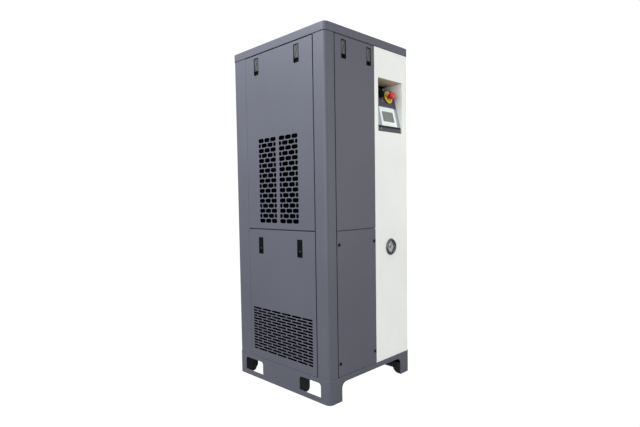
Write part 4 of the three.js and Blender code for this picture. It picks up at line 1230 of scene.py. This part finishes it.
def dress(node, material, width):
    """Keeps a CAD node's shape, with eased edges and its own material."""
    shown = NODES[node]
    shown.modifiers.new("weld", "NODES").node_group = WELD
    flat = shown.modifiers.new("flat", "DECIMATE")
    flat.decimate_type = "DISSOLVE"
    flat.angle_limit = math.radians(0.5)
    ease = shown.modifiers.new("ease", "BEVEL")
    ease.width = width
    ease.segments = 2
    ease.limit_method = "ANGLE"
    ease.angle_limit = SHARP
    shown.modifiers.new("normals", "WEIGHTED_NORMAL")
    shown.data.materials.clear()
    shown.data.materials.append(material)


DRESSED = {
    "base_front_rail": DARK, "base_rear_rail": DARK, "base_deck": DARK, "mid_frame": DARK,
    "drive_motor": MOTOR_PAINT, "motor_pulley": IRON, "airend_housing": IRON, "airend_pulley": IRON,
    "drive_belt": RUBBER, "separator_tank": TANK_PAINT, "oil_filter": FILTER, "intake_filter": BLACK,
    "oil_cooler": ALUMINIUM, "fan_shroud": TANK_PAINT, "fan_rotor": BLACK, "electrical_box": BOX_PAINT,
    "cooler_pipe": STEEL, "air_outlet": STEEL, "cable_gland": BLACK,
}

# -------- stage, light and camera

BACKDROP = 1.05  # brightness of the seen surroundings, just past white
VIEW = {
    "place": (-1.874, -1.696, 0.9302),
    "yaw": math.radians(42.264),
    "pitch": math.radians(-3.214),
    "roll": math.radians(-1.179),
    "lens": 26.42,
    "shift": (0.0683, 0.0207),
}


def camera():
    data = bpy.data.cameras.new("camera")
    data.sensor_width = 36
    data.lens = VIEW["lens"]
    data.shift_x, data.shift_y = VIEW["shift"]
    yaw, pitch, roll = VIEW["yaw"], VIEW["pitch"], VIEW["roll"]
    ahead = Vector((math.sin(yaw) * math.cos(pitch), math.cos(yaw) * math.cos(pitch), math.sin(pitch)))
    level = Vector((math.cos(yaw), -math.sin(yaw), 0))
    upright = level.cross(ahead)
    right = level * math.cos(roll) + upright * math.sin(roll)
    up = upright * math.cos(roll) - level * math.sin(roll)
    made = add_object("camera", data)
    made.matrix_world = basis(Vector(VIEW["place"]), right, up)
    bpy.context.scene.camera = made


def camera_only(tree, seen, hidden):
    """Mixes two shaders: `seen` for the camera's own view, `hidden` for all other light."""
    rays = tree.nodes.new("ShaderNodeLightPath")
    pick = tree.nodes.new("ShaderNodeMixShader")
    tree.links.new(rays.outputs["Is Camera Ray"], pick.inputs[0])
    tree.links.new(hidden.outputs[0], pick.inputs[1])
    tree.links.new(seen.outputs[0], pick.inputs[2])
    return pick.outputs[0]


def floor():
    """Floor that gives a little bounce light and is seen as the white backdrop, without shadows."""
    shader = Shader("floor_paint")
    grain = shader.spread(shader.noise(0.8), 0, 1)
    shader.set(Base_Color=shader.blend(grain, (0.3, 0.3, 0.3, 1), (0.36, 0.36, 0.36, 1)), Roughness=0.9)
    white = shader.node("ShaderNodeEmission", {"Strength": BACKDROP})
    surface = camera_only(shader.tree, white, shader.surface)
    shader.tree.links.new(surface, shader.tree.nodes["Material Output"].inputs["Surface"])
    reach, under, top = 60, -20 * MM, -1 * MM
    made = Build()
    made.loft(rounded_rect((0, 0), (reach, reach), 1), [(0, under), (0, top)])
    mesh = made.mesh("floor")
    mesh.materials.append(shader.material)
    add_object("floor", mesh)


def area_light(name, place, target, size, power, colour=(1, 1, 1)):
    data = bpy.data.lights.new(name, "AREA")
    data.shape = "RECTANGLE"
    data.size, data.size_y = size
    data.energy = power
    data.color = colour
    made = add_object(name, data)
    made.location = place
    made.rotation_mode = "QUATERNION"
    made.rotation_quaternion = (Vector(target) - Vector(place)).to_track_quat("-Z", "Y")


def studio():
    """Even white surroundings and soft boxes: above the left side, far left, in front and overhead."""
    world = bpy.data.worlds.new("studio")
    world.use_nodes = True
    tree = world.node_tree
    ambient = tree.nodes["Background"]
    ambient.inputs["Color"].default_value = (0.97, 0.98, 1, 1)
    ambient.inputs["Strength"].default_value = 0.74
    backdrop = tree.nodes.new("ShaderNodeBackground")
    backdrop.inputs["Strength"].default_value = BACKDROP
    backdrop.inputs["Color"].default_value = (1, 1, 1, 1)
    surface = camera_only(tree, backdrop, ambient)
    tree.links.new(surface, tree.nodes["World Output"].inputs["Surface"])
    bpy.context.scene.world = world
    area_light("key", (-1.8, 0.4, 3.1), (-0.3, 0, 1.5), (1.2, 1.2), 96, (0.94, 0.97, 1))
    area_light("left_fill", (-3.6, -1.5, 1.4), (0, 0, 0.9), (2, 2), 60)
    area_light("front", (1.6, -3.6, 1.2), (0, -0.3, 0.7), (2.4, 2.4), 46)
    area_light("overhead", (0, -0.4, 3.6), (0, 0, 0), (2.5, 2.5), 32)


bpy.context.scene.view_settings.view_transform = "Standard"
camera()
build_covers()
post("front_left_corner_post", "front_left_post", [])
post("rear_left_corner_post", "rear_left_post", [1])
post("rear_right_corner_post", "rear_right_post", [1, 0])
light_panel()
skirt("base_left_side", "base_left_skirt", mirror=False)
skirt("base_right_side", "base_right_skirt", mirror=True)
roof()
console_tray()
control_plate()
operator_panel()
emergency_stop()
rotary_switch()
gauge()
for screw in SCREWS:
    panel_screw(screw)
for node, material in DRESSED.items():
    dress(node, material, 1.4 * MM if node.endswith("rail") else 0.8 * MM)
floor()
studio()
